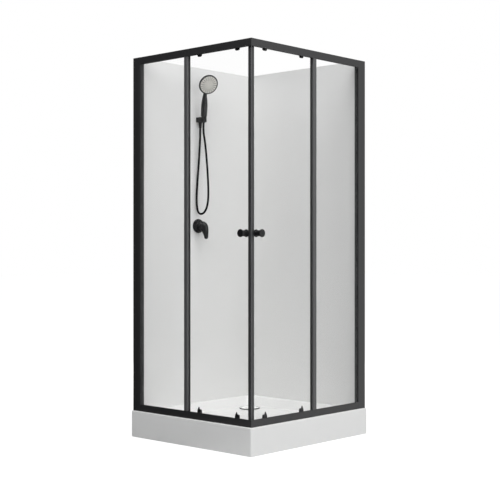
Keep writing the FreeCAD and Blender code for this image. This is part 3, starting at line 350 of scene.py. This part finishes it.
def acrylic(name, light, dark, wave):
    """Sanitary acrylic: glossy and hard, with a shallow waviness from the mould or press and hazy wiped patches."""
    material, tree, output = finish_named(name)
    place = add(tree, "TexCoord")
    haze = add(tree, "TexNoise", {"Scale": 6.0, "Detail": 4.0, "Roughness": 0.6}, Vector=place.outputs["Object"])
    peel = add(tree, "TexNoise", {"Scale": 90.0, "Detail": 2.0}, Vector=place.outputs["Object"])
    tone = add(tree, "Mix", {"data_type": "RGBA"}, _0=haze.outputs["Fac"])
    tone.inputs[6].default_value = linear(light)
    tone.inputs[7].default_value = linear(dark)
    rough = add(tree, "MapRange", {"To Min": 0.16, "To Max": 0.3}, Value=haze.outputs["Fac"])
    bump = add(tree, "Bump", {"Strength": wave, "Distance": 0.001}, Height=peel.outputs["Fac"])
    shader = add(tree, "BsdfPrincipled", {"IOR": 1.49}, Base_Color=tone.outputs[2],
                 Roughness=rough.outputs["Result"], Normal=bump.outputs["Normal"])
    tree.links.new(output.inputs["Surface"], shader.outputs["BSDF"])
    return material


tray_white = acrylic("sanitary_acrylic", "#efefee", "#e9e9e8", 0.04)
tray = make("tray_shell", [skin(tray_rows())], tray_white, "cabin", ["shower_tray"], crease=50)
# The notch for the waste pipe, in the apron on the wall side: an arch about the pipe's axis, cut away.
pipe_y, pipe_z, arch_radius = 279, 31, 30
turn = np.linspace(0, np.pi, 25)
arch = np.concatenate([
    [(pipe_y + arch_radius, -5)],
    np.stack([pipe_y + arch_radius * np.cos(turn), pipe_z + arch_radius * np.sin(turn)], -1),
    [(pipe_y - arch_radius, -5)]])
arch_rows = np.stack([np.c_[np.full(len(arch), x), arch] for x in (-458.0, -436.0)])
arch_ends = np.repeat(arch_rows.mean(1, keepdims=True), len(arch), 1)
notch = make("notch_cutter", [skin(np.concatenate([arch_ends[:1], arch_rows, arch_ends[1:]]))], tray_white, "cabin")
cut = tray.modifiers.new("pipe_notch", "BOOLEAN")
cut.operation = "DIFFERENCE"
cut.solver = "EXACT"
cut.object = notch
cut_mesh = bpy.data.meshes.new_from_object(tray.evaluated_get(bpy.context.evaluated_depsgraph_get()))
tray.modifiers.clear()
tray.data = cut_mesh
bpy.data.objects.remove(notch)


# The waste. A white ABS dome of 112 mm on three small feet over the sump, with a black ring round its lower
# edge that is painted shade for the dark gap beneath it, and below the tray its trap in moulded polypropylene.
# Water runs in under the edge.
def turned(profile, origin, axis, around=64):
    """A surface of revolution: each (along, radius) pair of the profile becomes a ring about the axis."""
    profile = np.asarray(profile, float)
    axis = np.asarray(axis, float) / np.linalg.norm(axis)
    side = np.cross(axis, [0.0, 0.0, 1.0] if abs(axis[2]) < 0.9 else [1.0, 0.0, 0.0])
    side /= np.linalg.norm(side)
    turn = np.linspace(0, 2 * np.pi, around, endpoint=False)
    ring = np.cos(turn)[:, None] * side + np.sin(turn)[:, None] * np.cross(axis, side)
    return skin(np.asarray(origin, float) + profile[:, :1, None] * axis + profile[:, 1:, None] * ring)


def dress(finish, *nodes):
    """Give the frame's own parts a finish in every material slot they have."""
    for name in nodes:
        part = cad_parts[name]
        if not part.material_slots:
            part.data.materials.append(finish)
        for place in part.material_slots:
            place.material = finish


white_abs = moulded("white_abs", "#f1f1ef", 0.28, 900.0)
across = np.linspace(0, 54.5, 20)
dome_radius = 200.0
drop = np.sqrt(dome_radius ** 2 - across ** 2) - dome_radius
crown = np.stack([drop + 98.5, across], -1)
under = np.stack([drop + 96.5, across], -1)[::-1]
edge_profile = eased(np.array([crown[-1], (90.6, 56.0), (87.5, 56.0), (87.5, 54.2), under[0]]), 1.2, 4)
cap = turned(np.concatenate([crown[:-1], edge_profile, under[1:]]), (*waste, 0), (0, 0, 1), 96)
feet = [turned([(85, 0), (85, 3), (91, 3), (91, 0)],
               (waste[0] + 49 * math.cos(a), waste[1] + 49 * math.sin(a), 0), (0, 0, 1), 16)
        for a in (math.pi / 2, math.pi * 7 / 6, math.pi * 11 / 6)]
make("waste_dome", [cap] + feet, white_abs, "waste_cover", ["waste_cover"])
# A black ring round the dome's lower edge: painted shade for the dark gap under it.
gap_shade_ring = turned(eased(np.array([(87, 54.4), (87, 56.6), (92, 56.6), (92, 54.4), (87, 54.4)]), 0.3, 2),
               (*waste, 0), (0, 0, 1), 96)
painted_gap_shade = moulded("painted_gap_shade_black", "#1d1d1f", 0.6, 500.0)
make("waste_painted_gap_shade", [gap_shade_ring], painted_gap_shade, "waste_cover", ())
dress(moulded("white_polypropylene", "#e2e3e2", 0.42, 700.0), "waste_trap")


# The support frame and its feet. Galvanised square tube under the tray floor, and five plastic pads on
# zinc-plated studs that are screwed up or down in their bosses to level the tray.
def zinc(name, colour, roughness, spangle):
    """Galvanised or zinc-plated steel: crystal patches a few millimetres wide that differ in tone and gloss."""
    material, tree, output = finish_named(name)
    place = add(tree, "TexCoord")
    cells = add(tree, "TexVoronoi", {"Scale": spangle}, Vector=place.outputs["Object"])
    tone = add(tree, "MapRange", {"To Min": 0.82, "To Max": 1.0}, Value=cells.outputs["Color"])
    colour_node = add(tree, "Mix", {"data_type": "RGBA", "blend_type": "MULTIPLY"})
    colour_node.inputs[0].default_value = 1.0
    colour_node.inputs[6].default_value = linear(colour)
    tree.links.new(colour_node.inputs[7], tone.outputs["Result"])
    rough = add(tree, "MapRange", {"To Min": roughness - 0.08, "To Max": roughness + 0.08},
                Value=cells.outputs["Color"])
    shader = add(tree, "BsdfPrincipled", {"Metallic": 1.0}, Base_Color=colour_node.outputs[2],
                 Roughness=rough.outputs["Result"])
    tree.links.new(output.inputs["Surface"], shader.outputs["BSDF"])
    return material


galvanised = zinc("galvanised_steel", "#b4b8bb", 0.42, 160.0)
dress(galvanised, "tray_support_frame")
foot_black = moulded("black_polyamide", "#1f2022", 0.45, 600.0)
sixths = np.arange(6) * np.pi / 3
hexagon = 8.5 * np.stack([np.cos(sixths), np.sin(sixths)], -1)
reach = 379.5
for name, (x, y) in {"centre": (0, 0), "front": (reach, -reach), "left": (-reach, -reach),
                     "right": (reach, reach), "back": (-reach, reach)}.items():
    pad_outline = eased(np.array([(0, 0), (0, 22), (3, 22), (9, 15.4), (9, 0.0)]), 1.5, 3)
    pad = turned(pad_outline, (x, y, 0), (0, 0, 1), 40)
    hub = np.full((6, 2), (x, y))
    nut = skin(np.stack([np.c_[ring, np.full(6, z)] for ring, z in (
        (hub, 0.5), (hexagon + hub, 0.5), (hexagon + hub, 15), (hub, 15))]))
    turns = np.arange(9, 65, 0.75)
    thread = np.stack([turns, 4.55 + 0.4 * np.cos(np.arange(len(turns)) * np.pi)], -1)
    stud = turned(np.concatenate([[(9, 0)], thread, [(66, 3.6), (66, 0)]]), (x, y, 0), (0, 0, 1), 20)
    node = "levelling_foot_" + name
    foot = make("foot_" + name, [pad, nut, stud], foot_black, node, [node])
    foot.data.materials.append(galvanised)
    for face in foot.data.polygons:
        above_nut = face.center.z > 0.0152
        face.material_index = int(above_nut)


# The frame. Black powder-coated aluminium extrusions: a post at each wall, a rail along the top and one
# along the rim of each open side, mitred at the entry corner over a moulded connector.
def powder_coat(name, colour, roughness):
    """Satin polyester powder coat on extruded aluminium: a fine orange peel of about a millimetre and faint
    cloudy differences in sheen."""
    material, tree, output = finish_named(name)
    place = add(tree, "TexCoord")
    peel = add(tree, "TexNoise", {"Scale": 650.0, "Detail": 1.0}, Vector=place.outputs["Object"])
    cloud = add(tree, "TexNoise", {"Scale": 9.0, "Detail": 3.0}, Vector=place.outputs["Object"])
    rough = add(tree, "MapRange", {"To Min": roughness - 0.06, "To Max": roughness + 0.06},
                Value=cloud.outputs["Fac"])
    bump = add(tree, "Bump", {"Strength": 0.1, "Distance": 0.0004}, Height=peel.outputs["Fac"])
    shader = add(tree, "BsdfPrincipled", {"Base Color": linear(colour), "IOR": 1.43},
                 Roughness=rough.outputs["Result"], Normal=bump.outputs["Normal"])
    tree.links.new(output.inputs["Surface"], shader.outputs["BSDF"])
    return material


black_coat = powder_coat("black_powder_coat", "#282829", 0.4)
dress(black_coat, "left_wall_post", "right_wall_post", "left_top_rail", "right_top_rail", "left_bottom_rail",
      "right_bottom_rail")
dress(foot_black, "corner_connectors", "door_stops")
dress(zinc("zinc_plated_screws", "#c2c4c6", 0.3, 400.0), "frame_screws")


# The walls. Two white acrylic-faced panels that close the cabin at the back and at the left, held in a
# slot of each post and in a white-coated aluminium corner profile.
panel_white = acrylic("white_wall_panel", "#eaeae9", "#e7e7e6", 0.008)
dress(panel_white, "left_wall_panel", "back_wall_panel")
dress(powder_coat("white_powder_coat", "#e6e6e5", 0.4), "back_corner_profile")


# The glass. Clear low-iron toughened glass of 5 mm in the fixed panes and in the doors, without a tint
# and coated against reflections. Lamps shine through it, so the cabin stays light.
clear_glass, tree, output = finish_named("toughened_low_iron_glass")
ray = add(tree, "LightPath")
pane = add(tree, "BsdfPrincipled", {"Base Color": linear("#ffffff"), "Roughness": 0.0, "IOR": 1.15,
                                    "Transmission Weight": 1.0})
open_way = add(tree, "BsdfTransparent", {"Color": linear("#fafafa")})
lit = add(tree, "Math", {"operation": "MAXIMUM"}, _0=ray.outputs["Is Shadow Ray"],
          _1=ray.outputs["Is Diffuse Ray"])
both = add(tree, "MixShader", None, Fac=lit.outputs[0], _1=pane.outputs[0], _2=open_way.outputs[0])
tree.links.new(output.inputs["Surface"], both.outputs[0])
dress(clear_glass, "left_fixed_pane", "right_fixed_pane", "left_door_pane", "right_door_pane")
gasket_rubber = moulded("black_epdm", "#242426", 0.6, 500.0)
dress(gasket_rubber, "glazing_gaskets", "upright_seals")


# The pane and door profiles. Powder-coated black like the frame, but painted lighter: a painted sheen for the
# light their rounded faces catch. The strips where the doors meet are dark magnetic seals in soft PVC.
# Both coats are the frame's black painted lighter, the panes' most: painted sheen, not a different coat.
pane_coat_painted_sheen = powder_coat("black_coat_painted_sheen_panes", "#505051", 0.34)
door_coat_painted_sheen = powder_coat("black_coat_painted_sheen_doors", "#363637", 0.34)


def softened(name, node, width, finish, body):
    """A copy of a CAD part, merged and with its flat faces joined up, whose edges are rounded by width in
    metres."""
    crease = math.radians(35)
    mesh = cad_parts[node].data.copy()
    mesh.name = name
    bm = bmesh.new()
    bm.from_mesh(mesh)
    bmesh.ops.remove_doubles(bm, verts=bm.verts, dist=2e-6)
    bmesh.ops.dissolve_limit(bm, angle_limit=math.radians(1), verts=bm.verts, edges=bm.edges)
    bm.to_mesh(mesh)
    bm.free()
    if "custom_normal" in mesh.attributes:
        mesh.attributes.remove(mesh.attributes["custom_normal"])
    mesh.shade_smooth()
    mesh.set_sharp_from_angle(angle=crease)
    mesh.materials.clear()
    mesh.materials.append(finish)
    piece = bpy.data.objects.new(name, mesh)
    bpy.context.collection.objects.link(piece)
    round_edges = piece.modifiers.new("soft_edges", "BEVEL")
    round_edges.width = width
    round_edges.segments = 2
    round_edges.limit_method = "ANGLE"
    round_edges.angle_limit = crease
    round_edges.harden_normals = True
    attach(piece, body)
    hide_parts(node)


def right_side(solid):
    """The right side's twin of a left-side shape: mirrored across the upright plane through the entry corner."""
    points, faces = solid
    return np.stack([-points[:, 1], -points[:, 0], points[:, 2]], -1), faces


# Runs and depths on the two open sides are measured from the frame's entry corner, at x 436 and y -436.
entry = 436
turn = np.radians(np.linspace(-90, -180, 7))
section = np.array([(483, 1.2)] + [(464 + 4 * math.cos(a), 5.2 + 4 * math.sin(a)) for a in turn]
                   + [(460, 13), (465, 13), (465, 10.8), (468.6, 10.8), (468.6, 13), (483, 13), (483, 9.35),
                      (462.85, 9.35), (462.85, 4.05), (483, 4.05)])
points, sides = skin(np.stack([np.c_[entry - section[:, 0], section[:, 1] - entry, np.full(len(section), z)]
                               for z in (177.0, 1992.0)]))
ends = [list(range(len(section))), list(range(len(section), 2 * len(section)))]
upright = points, sides + ends
make("upright_profiles", [upright, right_side(upright)], pane_coat_painted_sheen, "cabin", ["pane_profiles"])
softened("door_profiles_left", "left_door_profiles", 0.0009, door_coat_painted_sheen, "left_door")
softened("door_profiles_right", "right_door_profiles", 0.0009, door_coat_painted_sheen, "right_door")
seal_black = moulded("black_soft_pvc_seal", "#3c3c3e", 0.45, 500.0)
dress(seal_black, "left_door_magnet_seal", "right_door_magnet_seal")


# The roller gear. Each door hangs on two grooved acetal wheels on the top track and is guided below by
# two smaller ones on sprung slides, which are pushed down to swing the door out for cleaning.
white_acetal = moulded("white_acetal", "#e4e4e0", 0.32, 800.0)
slide_black = moulded("black_acetal", "#18181a", 0.36, 700.0)


def plate(outline, near, far):
    """A flat plate between two depths from its outline, (run, height) pairs, with slightly smaller ends for soft
    edges."""
    outline = np.asarray(outline, float)
    small = outline.mean(0) + 0.95 * (outline - outline.mean(0))
    rows = np.stack([np.c_[entry - ring[:, 0], np.full(len(ring), depth - entry), ring[:, 1]] for ring, depth in (
        (small, near), (outline, near + 0.5), (outline, far - 0.5), (small, far))])
    points, faces = skin(rows)
    return points, faces + [list(range(len(outline))), list(range(3 * len(outline), 4 * len(outline)))]


def rounded(centre, radii, start, end, count=10):
    """Points on an ellipse between two angles in degrees."""
    turn = np.radians(np.linspace(start, end, count))
    return [(centre[0] + radii[0] * math.cos(a), centre[1] + radii[1] * math.sin(a)) for a in turn]


def pin(u, height, radius, near, far):
    """A round pin between two depths, with its axis at that run and height."""
    return turned([(0, 0), (0, radius), (far - near, radius), (far - near, 0)], (entry - u, near - entry, height),
                  (0, 1, 0), 24)


def axle(u, height):
    """What carries a wheel: a thin pin and the shoulder behind it."""
    return [pin(u, height, 2, 14.35, 22.2), pin(u, height, 3.2, 20.65, 22.2)]


def both_sides(name, solids, finish, body, node, crease=35):
    """A left-side piece and its right-side twin. In the names of piece, body and node, {} stands for the side."""
    for side, shapes in (("left", solids), ("right", [right_side(s) for s in solids])):
        make(name.format(side), shapes, finish, body.format(side), [node.format(side)], crease)


wheel_runs = {"near": 117, "far": 388}
upper_axle, lower_axle = 2014.85, 154.35
carriers = []
for u in wheel_runs.values():
    carriers.append(plate(rounded((u - 6, 1992), (10, 8), 180, 270) + rounded((u + 6, 1992), (10, 8), 270, 360)
                          + rounded((u, upper_axle), (7, 7), 10, 170, 14), 22, 25.3))
    carriers.append(plate([(u - 13.7, 165.5), (u + 0.3, 165.5)]
                          + rounded((u - 6.7, 181), (7, 9.5), 0, 180, 16), 22, 27.3))
    carriers += [pin(u, 1993, 9, 14.4, 17), pin(u - 6.7, 184, 9, 14.4, 17), *axle(u, upper_axle)]
both_sides("carriers_{}", carriers, slide_black, "{}_door", "{}_door_carriers", crease=40)
for where, u in wheel_runs.items():
    for level, height, groove, flange in (("upper", upper_axle, 8.6, 9.8), ("lower", lower_axle, 6.0, 7.2)):
        inside = groove - 1.4
        outline = np.array([(0, 2.1), (0, 3.8), (1, 3.8), (1, inside), (0, inside), (0, flange), (1.1, flange),
                            (1.6, groove), (4.4, groove), (4.9, flange), (6, flange), (6, inside), (5, inside),
                            (5, 3.8), (6, 3.8), (6, 2.1), (0, 2.1)])
        disc = turned(eased(outline, 0.35, 2), (entry - u, 14.5 - entry, height), (0, 1, 0), 48)
        wheel = "{}_" + level + "_wheel_" + where
        both_sides("roller_{}_" + level + "_" + where, [disc], white_acetal, wheel, wheel, crease=40)
    thumb = plate([(u - 7.9, 148.4), (u + 10.1, 148.4), (u + 10.1, 165), (u + 16.2, 166), (u + 16.8, 180),
                   (u + 14.8, 187), (u + 11, 195), (u + 7.4, 201), (u + 5.4, 203), (u + 3.4, 201), (u + 1.6, 195.5),
                   (u + 0.6, 189), (u + 0.6, 160.4), (u - 7.9, 160.4)], 22, 25.3)
    slide = "{}_release_slide_" + where
    both_sides("thumb_{}_" + where, [thumb] + axle(u, lower_axle), slide_black, slide, slide)


# The door knobs. Turned brass with a matt black finish: a rosette on a washer, a waisted neck with a groove
# and a flat end disc, on a stud that goes through the glass to a low cap nut inside.
def black_finish(name, colour, roughness):
    """Matt black over plated brass or ABS, sprayed and baked: a velvety grain under half a millimetre, and cloudy
    patches a few centimetres long where hands have polished it, which are glossier and a little lighter."""
    material, tree, output = finish_named(name)
    place = add(tree, "TexCoord")
    hand = add(tree, "TexNoise", {"Scale": 34.0, "Detail": 3.0}, Vector=place.outputs["Object"])
    grain = add(tree, "TexNoise", {"Scale": 1400.0, "Detail": 1.0}, Vector=place.outputs["Object"])
    tone = add(tree, "Mix", {"data_type": "RGBA"}, _0=hand.outputs["Fac"])
    tone.inputs[6].default_value = linear(colour)
    tone.inputs[7].default_value = tuple(1.5 * v for v in linear(colour)[:3]) + (1.0,)
    rough = add(tree, "MapRange", {"To Min": roughness + 0.07, "To Max": roughness - 0.07},
                Value=hand.outputs["Fac"])
    bump = add(tree, "Bump", {"Strength": 0.08, "Distance": 0.0003}, Height=grain.outputs["Fac"])
    shader = add(tree, "BsdfPrincipled", {"IOR": 1.34}, Base_Color=tone.outputs[2],
                 Roughness=rough.outputs["Result"], Normal=bump.outputs["Normal"])
    tree.links.new(output.inputs["Surface"], shader.outputs["BSDF"])
    return material


black_brass = black_finish("matt_black_brass", "#111112", 0.38)
knob_outline = eased(np.array([
    (0, 0), (0, 11), (2.9, 11), (2.9, 19), (6.1, 19), (6.1, 12.5), (21.55, 12.5), (22.05, 15), (23.55, 15),
    (24.05, 12.5), (26.05, 12.5), (26.55, 15), (38.5, 15), (39.0, 12.5), (41, 12.5), (41, 19.5), (47, 19.5),
    (47, 0.0)]), 1.0, 3)
cap_outline = eased(np.array([(0, 0), (0, 11), (10, 11), (10, 0.0)]), 1.2, 3)
knob_x, knob_z = 389, 1083
knob = [turned(knob_outline, (knob_x, -419, knob_z), (0, -1, 0), 72),
        turned(cap_outline, (knob_x, -414, knob_z), (0, 1, 0), 48),
        turned([(0, 0), (0, 4.8), (6, 4.8), (6, 0)], (knob_x, -419.5, knob_z), (0, 1, 0), 24)]
both_sides("knob_{}", knob, black_brass, "{}_door", "{}_door_knobs", crease=30)


# The mixer. Matt black brass in front of the panel: a round plate, a ring that turns for warmer or
# colder water, and a claw-shaped lever on a ball that lifts for more water.
mixer_z, pivot_x, ball_radius, seat_radius = 1136, -384, 24, 24.35
escutcheon = turned(eased(np.array([(-412, 25), (-412, 39.5), (-403, 39.5), (-403, 25), (-412, 25.0)]), 2.4, 6),
                    (0, 0, mixer_z), (1, 0, 0), 96)
make("mixer_plate", [escutcheon], black_brass, "cabin", ["mixer_escutcheon"], crease=40)
cup = np.linspace(np.arcsin(18.7 / seat_radius), np.arcsin(3.7 / seat_radius), 10)[::-1]
ring_outline = np.concatenate([
    eased(np.array([(-402.7, 15.6), (-402.7, 31), (-387.7, 28), (-387.7, 24.07)]), 2.0, 6),
    np.stack([pivot_x - seat_radius * np.sin(cup), seat_radius * np.cos(cup)], -1)])
collar = turned(ring_outline, (0, 0, mixer_z), (1, 0, 0), 96)
make("mixer_ring", [collar], black_brass, "mixer_collar", ["mixer_collar"], crease=40)


def through(rows, count):
    """Catmull-Rom values through each row of numbers in turn, count to a stretch: each stretch leaves a row
    along the line from the row before it to the row after it."""
    p = np.asarray(rows, float)
    p = np.vstack([2 * p[0] - p[1], p, 2 * p[-1] - p[-2]])
    t = (np.arange(count) / count)[:, None]
    parts = [0.5 * (2 * b + (c - a) * t + (2 * a - 5 * b + 4 * c - d) * t ** 2 + (3 * b - a - 3 * c + d) * t ** 3)
             for a, b, c, d in zip(p, p[1:], p[2:], p[3:])]
    return np.vstack(parts + [p[-2:-1]])


def melt(piece, grain, passes):
    """Run a piece's overlapping forms into one skin of that grain in metres, and smooth the joins, as polishing
    does."""
    remesh = piece.modifiers.new("one_skin", "REMESH")
    remesh.mode = "VOXEL"
    remesh.voxel_size = grain
    remesh.use_smooth_shade = True
    polish = piece.modifiers.new("polish", "SMOOTH")
    polish.factor = 0.5
    polish.iterations = passes


def lever_rows():
    """Oval sections along the claw, in ball radii from the pivot, each leaning forward by its tilt in degrees, with
    a half-round tip made of five shrinking sections."""
    around = 56
    rows = through([(0.10, 0.02, 0.94, 0.94, 0), (0.42, 0.0, 1.07, 1.05, 2), (0.80, -0.12, 1.10, 0.98, 16),
                    (1.22, -0.55, 1.03, 0.84, 42), (1.45, -1.22, 0.84, 0.70, 62), (1.62, -2.02, 0.60, 0.56, 76),
                    (1.70, -2.62, 0.48, 0.47, 84)], 7)
    bulge = np.array([0.35, 0.62, 0.85, 0.97, 1.0])
    tip = np.repeat(rows[-1:], len(bulge), 0)
    tip[:, 0] += 0.03 * bulge
    tip[:, 1] -= 0.48 * bulge
    tip[:, 2:4] *= np.sqrt(1 - bulge ** 2)[:, None]
    forward, up, high, wide, tilt = np.concatenate([rows, tip]).T * ball_radius
    lean = np.radians(tilt / ball_radius)
    turn = np.linspace(0, 2 * np.pi, around, endpoint=False)
    x = pivot_x + forward[:, None] + high[:, None] * np.sin(lean)[:, None] * np.cos(turn)
    z = mixer_z + up[:, None] + high[:, None] * np.cos(lean)[:, None] * np.cos(turn)
    y = wide[:, None] * np.sin(turn)
    rings = np.stack([x, y, z], -1)
    return np.concatenate([np.repeat(rings[:1].mean(1, keepdims=True), around, 1), rings])


arc = np.linspace(0, np.pi, 33)
ball = turned(np.stack([-ball_radius * np.cos(arc), ball_radius * np.sin(arc)], -1), (pivot_x, 0, mixer_z),
              (1, 0, 0), 64)
lever = make("mixer_claw", [ball, skin(lever_rows())], black_brass, "mixer_lever", ["mixer_lever"])
melt(lever, 0.0008, 8)


def bare_metal(name, colour, roughness, patch):
    """Cast brass or drawn stainless steel, unplated: a bare metal with darker, duller patches of a centimetre or
    two."""
    material, tree, output = finish_named(name)
    place = add(tree, "TexCoord")
    cloud = add(tree, "TexNoise", {"Scale": patch, "Detail": 4.0}, Vector=place.outputs["Object"])
    tone = add(tree, "Mix", {"data_type": "RGBA"}, _0=cloud.outputs["Fac"])
    tone.inputs[6].default_value = linear(colour)
    tone.inputs[7].default_value = tuple(0.55 * v for v in linear(colour)[:3]) + (1.0,)
    rough = add(tree, "MapRange", {"To Min": roughness, "To Max": roughness + 0.2}, Value=cloud.outputs["Fac"])
    shader = add(tree, "BsdfPrincipled", {"Metallic": 1.0}, Base_Color=tone.outputs[2],
                 Roughness=rough.outputs["Result"])
    tree.links.new(output.inputs["Surface"], shader.outputs["BSDF"])
    return material


dress(bare_metal("cast_brass", "#c8a765", 0.3, 70.0), "mixer_body")
dress(white_acetal, "mixer_cartridge")
dress(bare_metal("drawn_stainless_steel", "#b9bbbc", 0.25, 50.0), "riser_pipe")


# The wall outlet. A square matt black brass block with a slotted round cradle that holds the hand shower, and a
# nozzle below for the hose. Its stub goes through the panel to the riser pipe.
softened("outlet_block", "wall_outlet", 0.0007, black_brass, "cabin")


# The hand shower. Matt black ABS: a handle with broad flats that narrows to a neck and widens into a flat
# round head, which tips forwards. A pale spray plate with rings of soft nozzles closes the head, and a thin
# black ring lies on the plate's edge.
def on_handle(points):
    """Carry points from the handle's own frame, X forward and Z along it, to its place: leant 6 degrees out from
    the wall, turned 17 degrees towards the entry and set 2 mm above the cradle, on its nut."""
    lean, yaw = math.radians(6), math.radians(-17)
    leant = np.array([[math.cos(lean), 0, math.sin(lean)], [0, 1, 0], [-math.sin(lean), 0, math.cos(lean)]])
    turned_by = np.array([[math.cos(yaw), -math.sin(yaw), 0], [math.sin(yaw), math.cos(yaw), 0], [0, 0, 1]])
    return (points + (0, 0, 2)) @ (turned_by @ leant).T + (-362.5, 0, 1748)


def on_head(solid):
    """Carry a shape drawn about X, with the face at 0, to the head: tipped 21.5 degrees and set on the handle's
    top."""
    points, faces = solid
    tip = math.radians(21.5)
    tipped = np.array([[math.cos(tip), 0, math.sin(tip)], [0, 1, 0], [-math.sin(tip), 0, math.cos(tip)]])
    return on_handle(points @ tipped.T + (43, 0, 177.5)), faces


def handle_rows():
    """Sections of the handle through rows of rise, forward place, half width, half depth and tilt. Each section
    has eight sides: its front, back and side flats are 0.55 of its width, and the corners between them are cut
    off."""
    rows = through([(0, 0, 15.5, 13.3, 0), (15.6, 0, 16.0, 14.0, 0), (58.5, 0, 16.4, 14.3, 0),
                    (93.6, 0.3, 14.0, 12.4, 2), (117, 1.6, 10.2, 10.2, 8), (137.8, 6.2, 9.3, 9.6, 18),
                    (161.2, 15.8, 9.3, 9.0, 24)], 8)
    start = rows[0] * (1, 1, 0.9, 0.9, 1)
    rows = np.concatenate([[start * (1, 1, 0, 0, 1), start, rows[0] + (1.5, 0, 0, 0, 0)], rows[1:],
                           [rows[-1] * (1, 1, 0, 0, 1)]])
    rise, forward, wide, deep, tilt = rows.T
    flat = 0.55
    corners = np.array([(1, flat), (flat, 1), (-flat, 1), (-1, flat), (-1, -flat), (-flat, -1), (flat, -1),
                        (1, -flat)])
    share = np.arange(9)[:, None] / 9
    ring = np.concatenate([a + share * (b - a) for a, b in zip(corners, np.roll(corners, -1, axis=0))])
    x = deep[:, None] * ring[:, 0]
    y = wide[:, None] * ring[:, 1]
    lean = np.radians(tilt)[:, None]
    return on_handle(np.stack([forward[:, None] + x * np.cos(lean), y, rise[:, None] - x * np.sin(lean)], -1))


shell_outline = eased(np.array([(-2, 0), (-2, 51.2), (0, 51.2), (0, 56), (-8.5, 56), (-13, 48.2), (-18.9, 28.0),
                                (-21.5, 11.8), (-21.5, 0.0)]), 2.5, 4)
shell = on_head(turned(shell_outline, (0, 0, 0), (1, 0, 0), 96))
black_abs = black_finish("matt_black_abs", "#121213", 0.3)
body = make("hand_shower", [skin(handle_rows()), shell], black_abs, "hand_shower", ["hand_shower_body"])
melt(body, 0.0009, 4)

spray_grey = moulded("warm_grey_abs", "#e6e4dd", 0.3, 700.0)
disc_outline = eased(np.array([(-2, 0), (-2, 51), (0.8, 51), (0.8, 0.0)]), 1.0, 3)
spray_disc = on_head(turned(disc_outline, (0, 0, 0), (1, 0, 0), 96))
spokes = np.arange(20) * 2 * np.pi / 20
nozzle_places = np.concatenate([
    np.stack([r * np.cos(spokes[::step]), r * np.sin(spokes[::step])], -1)
    for r, step in ((8, 4), (15, 2), (22, 2), (28, 1), (34, 1), (40, 1), (46, 1))])
nozzle, nozzle_faces = turned([(0.7, 1.9), (1.3, 1.6), (1.8, 1.1), (1.8, 0)], (0, 0, 0), (1, 0, 0), 8)
nozzles = [on_head((nozzle + (0, y, z), nozzle_faces)) for y, z in nozzle_places]
for a in spokes:
    out = np.array([0, math.cos(a), math.sin(a)])
    nozzles.append(on_head(turned([(0, 0), (0, 2.1), (23, 2.1), (23, 0)], 25 * out - (0.4, 0, 0), out, 8)))
make("spray_disc", [spray_disc], spray_grey, "hand_shower", ["spray_plate"])
silicone = moulded("grey_silicone", "#4a4845", 0.55, 900.0)
make("spray_nozzles", nozzles, silicone, "hand_shower", ())
edge_outline = eased(np.array([(0.4, 48.9), (1.3, 48.9), (1.3, 51.0), (0.4, 51.0), (0.4, 48.9)]), 0.2, 2)
edge_ring = on_head(turned(edge_outline, (0, 0, 0), (1, 0, 0), 96))
make("spray_edge_ring", [edge_ring], black_abs, "hand_shower", ())

handle_foot = on_handle(np.zeros((1, 3)))[0]
axis = on_handle(np.array([[0, 0, -1.0]]))[0] - handle_foot
grip = np.array([(0, 0), (0, 11.4), (0.8, 12), (6, 11.65), (7, 10.9), (8, 11.5), (23, 10.65), (24, 9.9),
                 (25, 10.5), (32.2, 10.2), (33, 9.6), (33, 0.0)])
hand_nut = turned(grip, handle_foot, axis, 48)
make("hand_nut", [hand_nut], black_brass, "hand_shower", ["hose_hand_nut"], crease=40)
wall_grip = eased(np.array([(0, 0), (0, 10), (9, 10), (12, 9.5), (32, 8.4), (32, 0.0)]), 0.8, 3)
wall_nut = turned(wall_grip, (-392, 0, 1721), (0, 0, -1), 48)
make("wall_nut", [wall_nut], black_brass, "cabin", ["hose_wall_nut"], crease=40)
